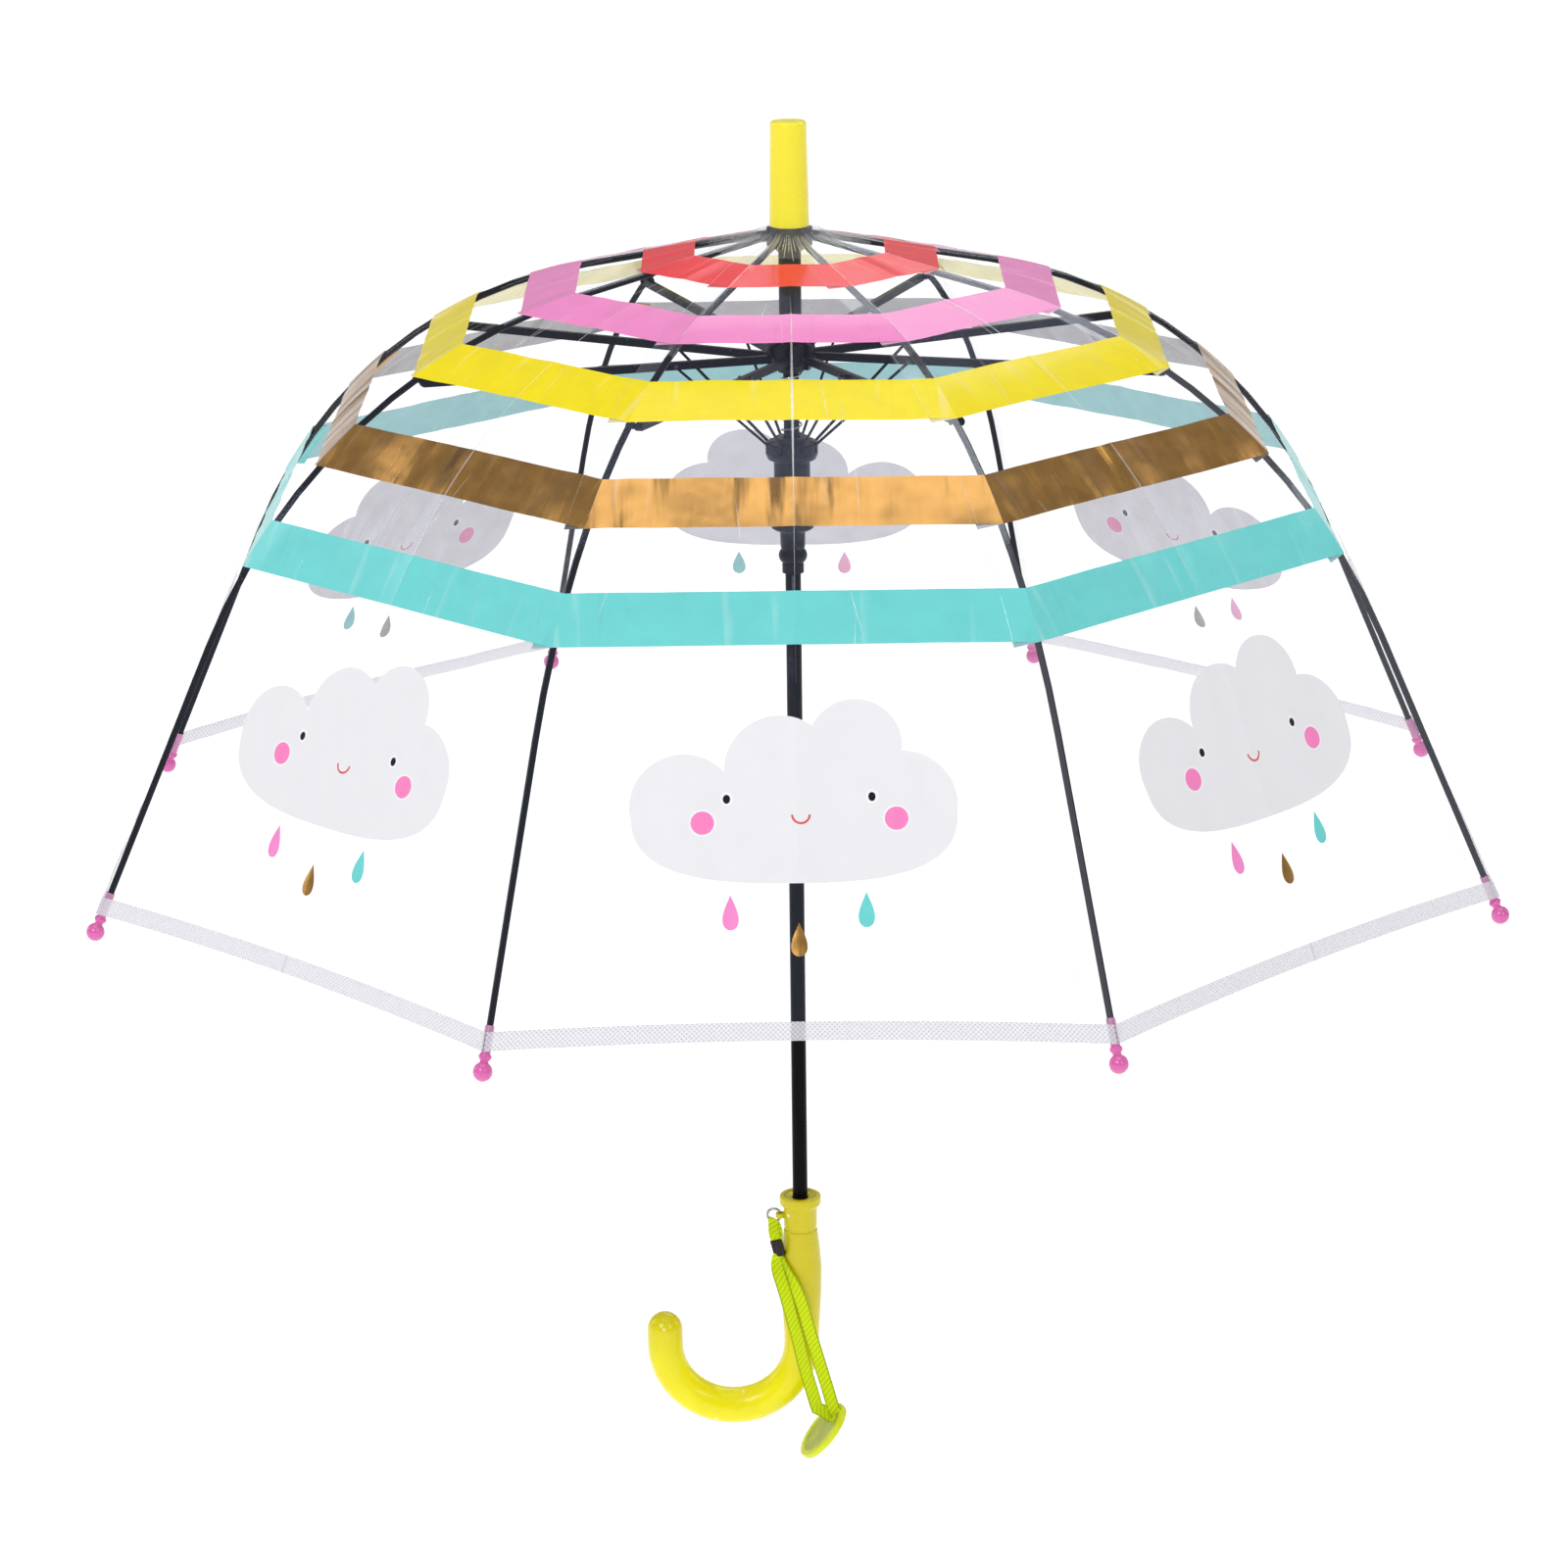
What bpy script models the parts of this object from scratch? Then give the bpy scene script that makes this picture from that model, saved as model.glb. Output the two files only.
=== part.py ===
"""Children's dome umbrella, open: eight ribs, eight clear gores, a sliding runner and a J handle.

Frame: metres, +Z up the shaft, origin on the shaft axis at the hand grip, hook towards -X.
Radial parts are drawn once with +X outwards, then turned about the shaft.
"""
import math

import bmesh
import bpy
from mathutils import Matrix, Vector

RIB_COUNT = 8
FIRST_RIB_ANGLE = math.radians(-67.5)
RIB_STEP = math.radians(360 / RIB_COUNT)
GAP = 0.0003
CUT_PAST = 0.0020

# Rib: a straight run, one bend and a straight side, all measured along its length
PIVOT_RADIUS = 0.009
PIVOT_Z = 0.533
RIB_TOP_SLOPE = math.radians(12.0)
RIB_TOP_RUN = 0.0995
RIB_BEND_RADIUS = 0.2694
RIB_SIDE_SLOPE = math.radians(64.95)
RIB_LENGTH = 0.4925
RIB_RADIUS = 0.0016
RIB_TAIL = 0.002

# Tip: sleeve, neck and ball at the end of each rib
TIP_SLEEVE_START = 0.4725
TIP_NECK_START = 0.4835
TIP_SLEEVE_RADIUS = 0.0021
TIP_NECK_RADIUS = 0.0028
TIP_BALL_RADIUS = 0.0044
RIB_END = 0.482

# Shaft and what is fixed to it
SHAFT_RADIUS = 0.0038
SHAFT_BORE = 0.0032
SHAFT_TOP_Z = 0.578
SHAFT_BOTTOM_Z = -0.022
CAP_BOTTOM_Z = 0.5370
CAP_TOP_Z = 0.5870
CAP_BOTTOM_RADIUS = 0.0096
CAP_TOP_RADIUS = 0.0086
CAP_EDGE = 0.0010
NOTCH_RADIUS = 0.0110
NOTCH_TOP_Z = 0.5367
NOTCH_BOTTOM_Z = 0.5275
NOTCH_EDGE = 0.0005
NOTCH_SLOT_INNER = 0.0061
SLEEVE_RADIUS = 0.0054
SLEEVE_BOTTOM_Z = 0.4850
SLIDE_RADIUS = SHAFT_RADIUS + 0.0004

# Hub that carries the stretchers
HUB_PIVOT_Z = 0.4740
HUB_PIVOT_RADIUS = 0.0110
HUB_RADIUS = 0.0118
HUB_HALF_HEIGHT = 0.0062
HUB_SKIRT = 0.0014
HUB_SLOT_INNER = 0.0068
STRETCHER_RIB_RUN = 0.187
STRETCHER_DROP = 0.0024
STRETCHER_WIDTH = 0.0028
STRETCHER_HEIGHT = 0.0038
STRETCHER_SIDE = 0.0034
LINK_ARM = 0.050
LINK_RADIUS = 0.00075
LINK_EYE = 0.0010

# Runner
RUNNER_PIVOT_Z = 0.4300
RUNNER_PIVOT_RADIUS = 0.0112
RUNNER_TOP_Z = 0.4344
RUNNER_BOTTOM_Z = 0.3670
CROWN_RADIUS = 0.0127
CROWN_BOTTOM_Z = 0.4262
BODY_RADIUS = 0.0088
BODY_TOP_Z = 0.4222
FLANGE_RADIUS = 0.0104
FLANGE_Z = 0.3905
FLANGE_HALF = 0.0009
NOSE_RADIUS = 0.0060
BEAD_RADIUS = 0.0070
BEAD_Z = 0.3755
BEAD_HALF = 0.0042
FOOT_RADIUS = 0.0053
LINK_SLOT_INNER = 0.0092
CATCH_WIDTH = 0.0016
CATCH_HEIGHT = 0.0080
CATCH_REACH = 0.0060
CATCH_ROOT = 0.0012

# Opening spring between hub and runner
SPRING_RADIUS = 0.0048
SPRING_WIRE = 0.0005
SPRING_TURNS = 6

# Film: each gore is drawn tight between two ribs
FILM_THICKNESS = 0.0005
FILM_START = 0.0125
HEM_START = 0.4700
HEM_END = 0.4785
HEM_THICKNESS = 0.0009
GORE_EDGE_GAP = 0.00025

# Handle: turned grip that runs into a J hook
LIP_Z = 0.0410
LIP_RADIUS = 0.0104
NECK_RADIUS = 0.0085
GROOVE_Z = 0.0233
GROOVE_RADIUS = 0.0080
GRIP_RADIUS = 0.0106
HOOK_RADIUS = 0.0350
HOOK_Z = -0.0400
HOOK_TUBE = 0.0090
HOOK_TIP_RISE = 0.0080
HOOK_STEPS = 14
MOUTH_RADIUS = 0.0070
MOUTH_DEPTH = 0.0100
TAB_Z = 0.0300
TAB_REACH = 0.0125
TAB_HALF = 0.0012
TAB_SIDE = 0.0024
TAB_HOLE = 0.0013
RING_X = -0.0134
RING_RADIUS = 0.0034
RING_WIRE = 0.0006

# Wrist strap hanging from the ring
CRIMP_ANGLE = math.radians(210)
CRIMP_OUT = 0.0134
CRIMP_Z = 0.0150
CRIMP_SIZE = (0.0030, 0.0060, 0.0090)
CRIMP_EDGE = 0.0004
STRAP_RADIUS = 0.0024
DISC_CENTRE = Vector((0.0105, -0.0165, -0.0825))
DISC_NORMAL = Vector((-0.695, -0.42, 0.583)).normalized()
DISC_RADIUS = 0.0165
DISC_THICKNESS = 0.0022
STRAP_ROUTE = (
    (-0.0116, -0.0067, 0.0097),
    (-0.0114, -0.0071, 0.0078),
    (-0.0098, -0.0104, 0.0030),
    (-0.0072, -0.0128, -0.0030),
    (-0.0042, -0.0138, -0.0120),
    (-0.0012, -0.0138, -0.0240),
    (0.0018, -0.0134, -0.0360),
    (0.0050, -0.0135, -0.0490),
    (0.0084, -0.0148, -0.0610),
    (0.0108, -0.0172, -0.0695),
)


def clear_scene():
    """Remove every object that the file starts with."""
    for old in list(bpy.data.objects):
        bpy.data.objects.remove(old)


def material(name, colour, roughness, metallic=0.0, alpha=1.0):
    """Return a Principled material."""
    mat = bpy.data.materials.new(name)
    mat.use_nodes = True
    shader = mat.node_tree.nodes["Principled BSDF"]
    shader.inputs["Base Color"].default_value = (*colour, 1.0)
    shader.inputs["Roughness"].default_value = roughness
    shader.inputs["Metallic"].default_value = metallic
    shader.inputs["Alpha"].default_value = alpha
    return mat


def add_object(name, bm, mat, smooth=True):
    """Turn a bmesh into a named object with one material."""
    bmesh.ops.recalc_face_normals(bm, faces=bm.faces)
    mesh = bpy.data.meshes.new(name)
    bm.to_mesh(mesh)
    bm.free()
    mesh.materials.append(mat)
    if smooth:
        mesh.shade_smooth()
        mesh.set_sharp_from_angle(angle=math.radians(35))
    obj = bpy.data.objects.new(name, mesh)
    bpy.context.scene.collection.objects.link(obj)
    return obj


def add_empty(name, matrix):
    """Add an empty on a joint's axis."""
    empty = bpy.data.objects.new(name, None)
    empty.empty_display_size = 0.01
    empty.matrix_world = matrix
    bpy.context.scene.collection.objects.link(empty)
    return empty


def hang(obj, parent):
    """Parent an object and keep it where it is."""
    obj.parent = parent
    obj.matrix_parent_inverse = parent.matrix_world.inverted()


def loft(rings, closed=False):
    """Skin a list of point rings; the two ends are capped unless the rings close on themselves."""
    bm = bmesh.new()
    loops = [[bm.verts.new(point) for point in ring] for ring in rings]
    pairs = list(zip(loops, loops[1:]))
    if closed:
        pairs.append((loops[-1], loops[0]))
    for low, high in pairs:
        count = len(low)
        for i in range(count):
            j = (i + 1) % count
            bm.faces.new((low[i], low[j], high[j], high[i]))
    if not closed:
        bm.faces.new(loops[0][::-1])
        bm.faces.new(loops[-1])
    return bm


def turned(profile, sides, closed=False):
    """Turn (radius, height) points about the shaft."""
    rings = []
    for radius, height in profile:
        ring = []
        for i in range(sides):
            angle = 2 * math.pi * i / sides
            ring.append((radius * math.cos(angle), radius * math.sin(angle), height))
        rings.append(ring)
    return loft(rings, closed)


def tube_rings(path, radii, sides):
    """Rings of the given radii across a path, carried along it without twist."""
    rings = []
    side = None
    last = len(path) - 1
    for i, point in enumerate(path):
        along = (path[min(i + 1, last)] - path[max(i - 1, 0)]).normalized()
        if side is None:
            side = along.orthogonal().normalized()
        side = (side - along * side.dot(along)).normalized()
        other = along.cross(side)
        ring = []
        for k in range(sides):
            angle = 2 * math.pi * k / sides
            ring.append(point + (side * math.cos(angle) + other * math.sin(angle)) * radii[i])
        rings.append(ring)
    return rings


def bar(outline, low, high):
    """Extrude an outline of (x, z) points between two side planes."""
    return loft([[(x, low, z) for x, z in outline], [(x, high, z) for x, z in outline]])


def box(bm, low, high):
    """Add a box between two corners."""
    size = Vector(high) - Vector(low)
    centre = (Vector(high) + Vector(low)) / 2
    matrix = Matrix.Translation(centre) @ Matrix.Diagonal((*size, 1.0))
    bmesh.ops.create_cube(bm, size=1.0, matrix=matrix)


def cut(target, cutter_bm, operation="DIFFERENCE"):
    """Apply one exact boolean to an object and drop the cutter."""
    mesh = bpy.data.meshes.new("cutter")
    cutter_bm.to_mesh(mesh)
    cutter_bm.free()
    cutter = bpy.data.objects.new("cutter", mesh)
    cutter.hide_render = True
    cutter.display_type = "WIRE"
    bpy.context.scene.collection.objects.link(cutter)
    modifier = target.modifiers.new("cut", "BOOLEAN")
    modifier.operation = operation
    modifier.solver = "EXACT"
    modifier.object = cutter
    depsgraph = bpy.context.evaluated_depsgraph_get()
    result = bpy.data.meshes.new_from_object(target.evaluated_get(depsgraph))
    target.modifiers.remove(modifier)
    target.data = result
    bpy.data.objects.remove(cutter)


def radial_slots(inner, outer, low, high, side, width):
    """Eight boxes, one under each rib, for slots in a turned part."""
    bm = bmesh.new()
    for i in range(RIB_COUNT):
        start = len(bm.verts)
        box(bm, (inner, side - width / 2, low), (outer, side + width / 2, high))
        bm.verts.ensure_lookup_table()
        turn = Matrix.Rotation(FIRST_RIB_ANGLE + i * RIB_STEP, 4, "Z")
        bmesh.ops.transform(bm, matrix=turn, verts=bm.verts[start:])
    return bm


def rib_point(run):
    """Radius, height and slope of the rib at a length along it from its pivot."""
    bend = RIB_BEND_RADIUS * (RIB_SIDE_SLOPE - RIB_TOP_SLOPE)
    straight = min(run, RIB_TOP_RUN)
    radius = PIVOT_RADIUS + straight * math.cos(RIB_TOP_SLOPE)
    height = PIVOT_Z - straight * math.sin(RIB_TOP_SLOPE)
    slope = RIB_TOP_SLOPE
    if run > RIB_TOP_RUN:
        slope += min(run - RIB_TOP_RUN, bend) / RIB_BEND_RADIUS
        radius += RIB_BEND_RADIUS * (math.sin(slope) - math.sin(RIB_TOP_SLOPE))
        height -= RIB_BEND_RADIUS * (math.cos(RIB_TOP_SLOPE) - math.cos(slope))
    if run > RIB_TOP_RUN + bend:
        side = run - RIB_TOP_RUN - bend
        radius += side * math.cos(slope)
        height -= side * math.sin(slope)
    return radius, height, slope


def rib_runs(start, end, bend_steps):
    """Lengths along the rib where its shape needs a ring."""
    bend = RIB_BEND_RADIUS * (RIB_SIDE_SLOPE - RIB_TOP_SLOPE)
    runs = [start]
    for i in range(bend_steps + 1):
        run = RIB_TOP_RUN + bend * i / bend_steps
        if start < run < end:
            runs.append(run)
    runs.append(end)
    return runs


def rib_frame(run, drop=0.0):
    """Place on the rib with local X along it and local Z out of the dome."""
    radius, height, slope = rib_point(run)
    return Matrix.Translation((radius - drop * math.sin(slope), 0, height - drop * math.cos(slope))) \
        @ Matrix.Rotation(slope, 4, "Y")


def film_point(run, offset, share):
    """Point of the film at a length along the ribs and a share of the way to the next rib."""
    radius, height, slope = rib_point(run)
    radius += offset * math.sin(slope)
    height += offset * math.cos(slope)
    first = Vector((radius, 0, height))
    second = Matrix.Rotation(RIB_STEP, 3, "Z") @ first
    return first.lerp(second, share)


def film_panel(runs, low, high, columns):
    """Closed sheet between two ribs, from offset low to offset high above them."""
    bm = bmesh.new()
    chord = [2 * rib_point(run)[0] * math.sin(RIB_STEP / 2) for run in runs]
    layers = []
    for offset in (low, high):
        rows = []
        for run, width in zip(runs, chord):
            edge = GORE_EDGE_GAP / width
            shares = [edge + (1 - 2 * edge) * k / columns for k in range(columns + 1)]
            rows.append([bm.verts.new(film_point(run, offset, share)) for share in shares])
        layers.append(rows)
    under, over = layers
    for i in range(len(runs) - 1):
        for k in range(columns):
            for rows in layers:
                bm.faces.new((rows[i][k], rows[i][k + 1], rows[i + 1][k + 1], rows[i + 1][k]))
        for k in (0, columns):
            bm.faces.new((under[i][k], over[i][k], over[i + 1][k], under[i + 1][k]))
    for i in (0, len(runs) - 1):
        for k in range(columns):
            bm.faces.new((under[i][k], over[i][k], over[i][k + 1], under[i][k + 1]))
    return bm


def turn_to_rib(obj, index):
    """Turn a part drawn along +X about the shaft to its rib."""
    obj.data.transform(Matrix.Rotation(FIRST_RIB_ANGLE + index * RIB_STEP, 4, "Z"))


def hinge_empty(name, index, radius, height):
    """Empty on a hinge whose axis runs across the rib's plane."""
    turn = Matrix.Rotation(FIRST_RIB_ANGLE + index * RIB_STEP, 4, "Z")
    return add_empty(name, turn @ Matrix.Translation((radius, 0, height)))


def make_shaft(mat):
    """Steel tube with the slot that the runner catch works in."""
    profile = ((SHAFT_BORE, SHAFT_BOTTOM_Z), (SHAFT_RADIUS, SHAFT_BOTTOM_Z),
               (SHAFT_RADIUS, SHAFT_TOP_Z), (SHAFT_BORE, SHAFT_TOP_Z))
    shaft = add_object("shaft", turned(profile, 24, closed=True), mat)
    slot = bmesh.new()
    half = CATCH_WIDTH / 2 + GAP
    low = RUNNER_BOTTOM_Z - GAP - CATCH_HEIGHT - GAP
    box(slot, (-half, -SHAFT_RADIUS - 0.001, low), (half, -SHAFT_BORE / 2, RUNNER_BOTTOM_Z))
    cut(shaft, slot)
    return shaft


def make_cap(mat):
    """Hollow tapered ferrule cap with a flat top."""
    bore = SHAFT_RADIUS + GAP
    edge = CAP_EDGE
    profile = ((bore, SHAFT_TOP_Z + GAP), (bore, CAP_BOTTOM_Z), (CAP_BOTTOM_RADIUS - edge / 2, CAP_BOTTOM_Z),
               (CAP_BOTTOM_RADIUS, CAP_BOTTOM_Z + edge / 2), (CAP_TOP_RADIUS, CAP_TOP_Z - edge),
               (CAP_TOP_RADIUS - edge * 0.3, CAP_TOP_Z - edge * 0.3), (CAP_TOP_RADIUS - edge, CAP_TOP_Z))
    return add_object("ferrule_cap", turned(profile, 24), mat)


def make_notch(mat):
    """Top notch with its rib slots and the stop sleeve below it, one moulding."""
    bore = SHAFT_RADIUS + GAP
    edge = NOTCH_EDGE
    profile = ((bore, NOTCH_TOP_Z), (NOTCH_RADIUS - edge, NOTCH_TOP_Z), (NOTCH_RADIUS, NOTCH_TOP_Z - edge),
               (NOTCH_RADIUS, NOTCH_BOTTOM_Z + edge), (NOTCH_RADIUS - edge, NOTCH_BOTTOM_Z),
               (0.0075, NOTCH_BOTTOM_Z - 0.0010), (SLEEVE_RADIUS, NOTCH_BOTTOM_Z - 0.0030),
               (SLEEVE_RADIUS, SLEEVE_BOTTOM_Z), (bore, SLEEVE_BOTTOM_Z))
    notch = add_object("top_notch", turned(profile, 32, closed=True), mat)
    slot = RIB_RADIUS * 2 + 2 * GAP
    cut(notch, radial_slots(NOTCH_SLOT_INNER, NOTCH_RADIUS + CUT_PAST, NOTCH_BOTTOM_Z - 0.0050,
                            NOTCH_TOP_Z + CUT_PAST, 0.0, slot))
    return notch


def make_hub(mat):
    """Sliding hub with a slot for each stretcher."""
    top = HUB_PIVOT_Z + HUB_HALF_HEIGHT
    low = HUB_PIVOT_Z - HUB_HALF_HEIGHT
    profile = ((SLIDE_RADIUS, SLEEVE_BOTTOM_Z - GAP), (0.0066, SLEEVE_BOTTOM_Z - GAP), (0.0072, top + 0.0012),
               (HUB_RADIUS - 0.0012, top), (HUB_RADIUS, top - 0.0012), (HUB_RADIUS, low + 0.0030),
               (HUB_RADIUS - 0.0020, low), (0.0068, low), (0.0060, low - HUB_SKIRT),
               (SLIDE_RADIUS, low - HUB_SKIRT))
    hub = add_object("stretcher_hub", turned(profile, 32, closed=True), mat)
    slot = STRETCHER_WIDTH + 2 * GAP
    cut(hub, radial_slots(HUB_SLOT_INNER, HUB_RADIUS + CUT_PAST, low - HUB_SKIRT - CUT_PAST,
                          top + 2 * CUT_PAST, STRETCHER_SIDE, slot))
    return hub


def make_runner(mat):
    """Runner: slotted crown, wide body, flange, nose and a round bead at the bottom."""
    flange_top = FLANGE_Z + FLANGE_HALF
    flange_low = FLANGE_Z - FLANGE_HALF
    profile = [(SLIDE_RADIUS, RUNNER_TOP_Z), (0.0080, RUNNER_TOP_Z), (0.0086, RUNNER_TOP_Z - 0.0016),
               (CROWN_RADIUS - 0.0007, RUNNER_TOP_Z - 0.0022), (CROWN_RADIUS, RUNNER_TOP_Z - 0.0032),
               (CROWN_RADIUS, CROWN_BOTTOM_Z), (CROWN_RADIUS - 0.0009, CROWN_BOTTOM_Z - 0.0024),
               (BODY_RADIUS, BODY_TOP_Z), (BODY_RADIUS, flange_top + 0.0016), (FLANGE_RADIUS, flange_top),
               (FLANGE_RADIUS, flange_low), (BODY_RADIUS, flange_low - 0.0012),
               (NOSE_RADIUS + 0.0002, flange_low - 0.0016), (NOSE_RADIUS, BEAD_Z + 0.0045)]
    for degrees in range(50, -61, -22):
        angle = math.radians(degrees)
        radius = BEAD_RADIUS * (0.45 + 0.55 * math.cos(angle))
        profile.append((radius, BEAD_Z + BEAD_HALF * math.sin(angle)))
    profile += [(FOOT_RADIUS, BEAD_Z - 0.0043), (FOOT_RADIUS, RUNNER_BOTTOM_Z),
                (SLIDE_RADIUS, RUNNER_BOTTOM_Z)]
    runner = add_object("runner", turned(profile, 32, closed=True), mat)
    slot = LINK_RADIUS * 2 + 2 * GAP
    cut(runner, radial_slots(LINK_SLOT_INNER, CROWN_RADIUS + CUT_PAST, RUNNER_PIVOT_Z - 0.0030,
                             RUNNER_TOP_Z + CUT_PAST, 0.0, slot))
    return runner


def make_spring(mat):
    """Opening spring: a round wire coil between hub and runner, as one helix."""
    low = RUNNER_TOP_Z + SPRING_WIRE + GAP
    high = HUB_PIVOT_Z - HUB_HALF_HEIGHT - HUB_SKIRT - SPRING_WIRE - GAP
    steps = SPRING_TURNS * 12
    path = []
    for i in range(steps + 1):
        angle = 2 * math.pi * SPRING_TURNS * i / steps
        height = low + (high - low) * i / steps
        path.append(Vector((SPRING_RADIUS * math.cos(angle), SPRING_RADIUS * math.sin(angle), height)))
    return add_object("opening_spring", loft(tube_rings(path, [SPRING_WIRE] * len(path), 6)), mat)


def make_catch(mat):
    """Sprung catch: a wedge plate in the shaft that holds the runner up by its flat top."""
    top = RUNNER_BOTTOM_Z - GAP
    low = top - CATCH_HEIGHT
    outline = [(-CATCH_ROOT, top), (-CATCH_REACH, top), (-CATCH_REACH, top - 0.0012),
               (-SHAFT_RADIUS, low + 0.0006), (-SHAFT_RADIUS, low), (-CATCH_ROOT, low)]
    half = CATCH_WIDTH / 2
    rings = [[(side, y, z) for y, z in outline] for side in (-half, half)]
    return add_object("shaft_catch", loft(rings), mat, smooth=False)


def make_rib(index, mat):
    """One fibre rib, from its tail in the notch to its end inside the tip."""
    runs = rib_runs(0.0, RIB_END, 12)
    path = [Vector((PIVOT_RADIUS - RIB_TAIL * math.cos(RIB_TOP_SLOPE), 0,
                    PIVOT_Z + RIB_TAIL * math.sin(RIB_TOP_SLOPE)))]
    for run in runs[1:]:
        radius, height, _ = rib_point(run)
        path.append(Vector((radius, 0, height)))
    rib = add_object(f"rib_{index + 1}", loft(tube_rings(path, [RIB_RADIUS] * len(path), 8)), mat)
    turn_to_rib(rib, index)
    return rib


def make_tip(index, mat):
    """Moulded tip: a thin sleeve over the rib, a flared neck and a ball."""
    bore = RIB_RADIUS + GAP
    sleeve = TIP_SLEEVE_RADIUS
    profile = [(bore, RIB_END + GAP), (bore, TIP_SLEEVE_START), (sleeve, TIP_SLEEVE_START),
               (sleeve, TIP_NECK_START - 0.0010), (TIP_NECK_RADIUS + 0.0003, TIP_NECK_START),
               (TIP_NECK_RADIUS - 0.0002, TIP_NECK_START + 0.0025)]
    for degrees in range(-48, 91, 23):
        angle = math.radians(degrees)
        profile.append((TIP_BALL_RADIUS * math.cos(angle), RIB_LENGTH + TIP_BALL_RADIUS * math.sin(angle)))
    bm = turned(profile, 12)
    stand = Matrix.Rotation(math.radians(90), 4, "Y")
    place = rib_frame(RIB_LENGTH) @ stand @ Matrix.Translation((0, 0, -RIB_LENGTH))
    bmesh.ops.transform(bm, matrix=place, verts=bm.verts)
    tip = add_object(f"rib_tip_{index + 1}", bm, mat)
    turn_to_rib(tip, index)
    return tip


def round_bar(start, end, half):
    """Outline of a bar with round ends between two (x, z) points."""
    along = math.atan2(end[1] - start[1], end[0] - start[0])
    outline = []
    for centre, first in ((end, along - math.pi / 2), (start, along + math.pi / 2)):
        for k in range(7):
            angle = first + math.pi * k / 6
            outline.append((centre[0] + half * math.cos(angle), centre[1] + half * math.sin(angle)))
    return outline


def stretcher_ends():
    """Hub pin and rib pin of a stretcher as (radius, height)."""
    rib_pin = rib_frame(STRETCHER_RIB_RUN, STRETCHER_DROP).translation
    return (HUB_PIVOT_RADIUS, HUB_PIVOT_Z), (rib_pin.x, rib_pin.z)


def make_stretcher(index, mat):
    """Flat stretcher arm beside its rib, from the hub to the rib."""
    hub_pin, rib_pin = stretcher_ends()
    low = STRETCHER_SIDE - STRETCHER_WIDTH / 2
    bm = bar(round_bar(hub_pin, rib_pin, STRETCHER_HEIGHT / 2), low, low + STRETCHER_WIDTH)
    arm = add_object(f"stretcher_{index + 1}", bm, mat)
    turn_to_rib(arm, index)
    return arm


def make_link(index, mat):
    """Thin link wire from the runner to its stretcher."""
    hub_pin, rib_pin = stretcher_ends()
    length = math.dist(hub_pin, rib_pin)
    share = LINK_ARM / length
    arm_pin = Vector((hub_pin[0] + (rib_pin[0] - hub_pin[0]) * share, 0,
                      hub_pin[1] + (rib_pin[1] - hub_pin[1]) * share))
    foot = Vector((RUNNER_PIVOT_RADIUS, 0, RUNNER_PIVOT_Z))
    along = (arm_pin - foot).normalized()
    path = [foot - along * LINK_EYE, foot, foot.lerp(arm_pin, 0.5), arm_pin, arm_pin + along * LINK_EYE]
    link = add_object(f"link_{index + 1}", loft(tube_rings(path, [LINK_RADIUS] * len(path), 6)), mat)
    turn_to_rib(link, index)
    return link


def make_gore(index, mat):
    """Clear film panel, drawn tight over two ribs."""
    low = RIB_RADIUS + GAP
    runs = rib_runs(FILM_START, HEM_START - GAP, 9)
    gore = add_object(f"gore_{index + 1}", film_panel(runs, low, low + FILM_THICKNESS, 2), mat)
    turn_to_rib(gore, index)
    return gore


def make_hem(index, mat):
    """Woven tape along the gore's lower edge."""
    low = TIP_SLEEVE_RADIUS + GAP
    panel = film_panel([HEM_START, HEM_END], low, low + HEM_THICKNESS, 2)
    hem = add_object(f"hem_tape_{index + 1}", panel, mat)
    turn_to_rib(hem, index)
    return hem


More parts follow.
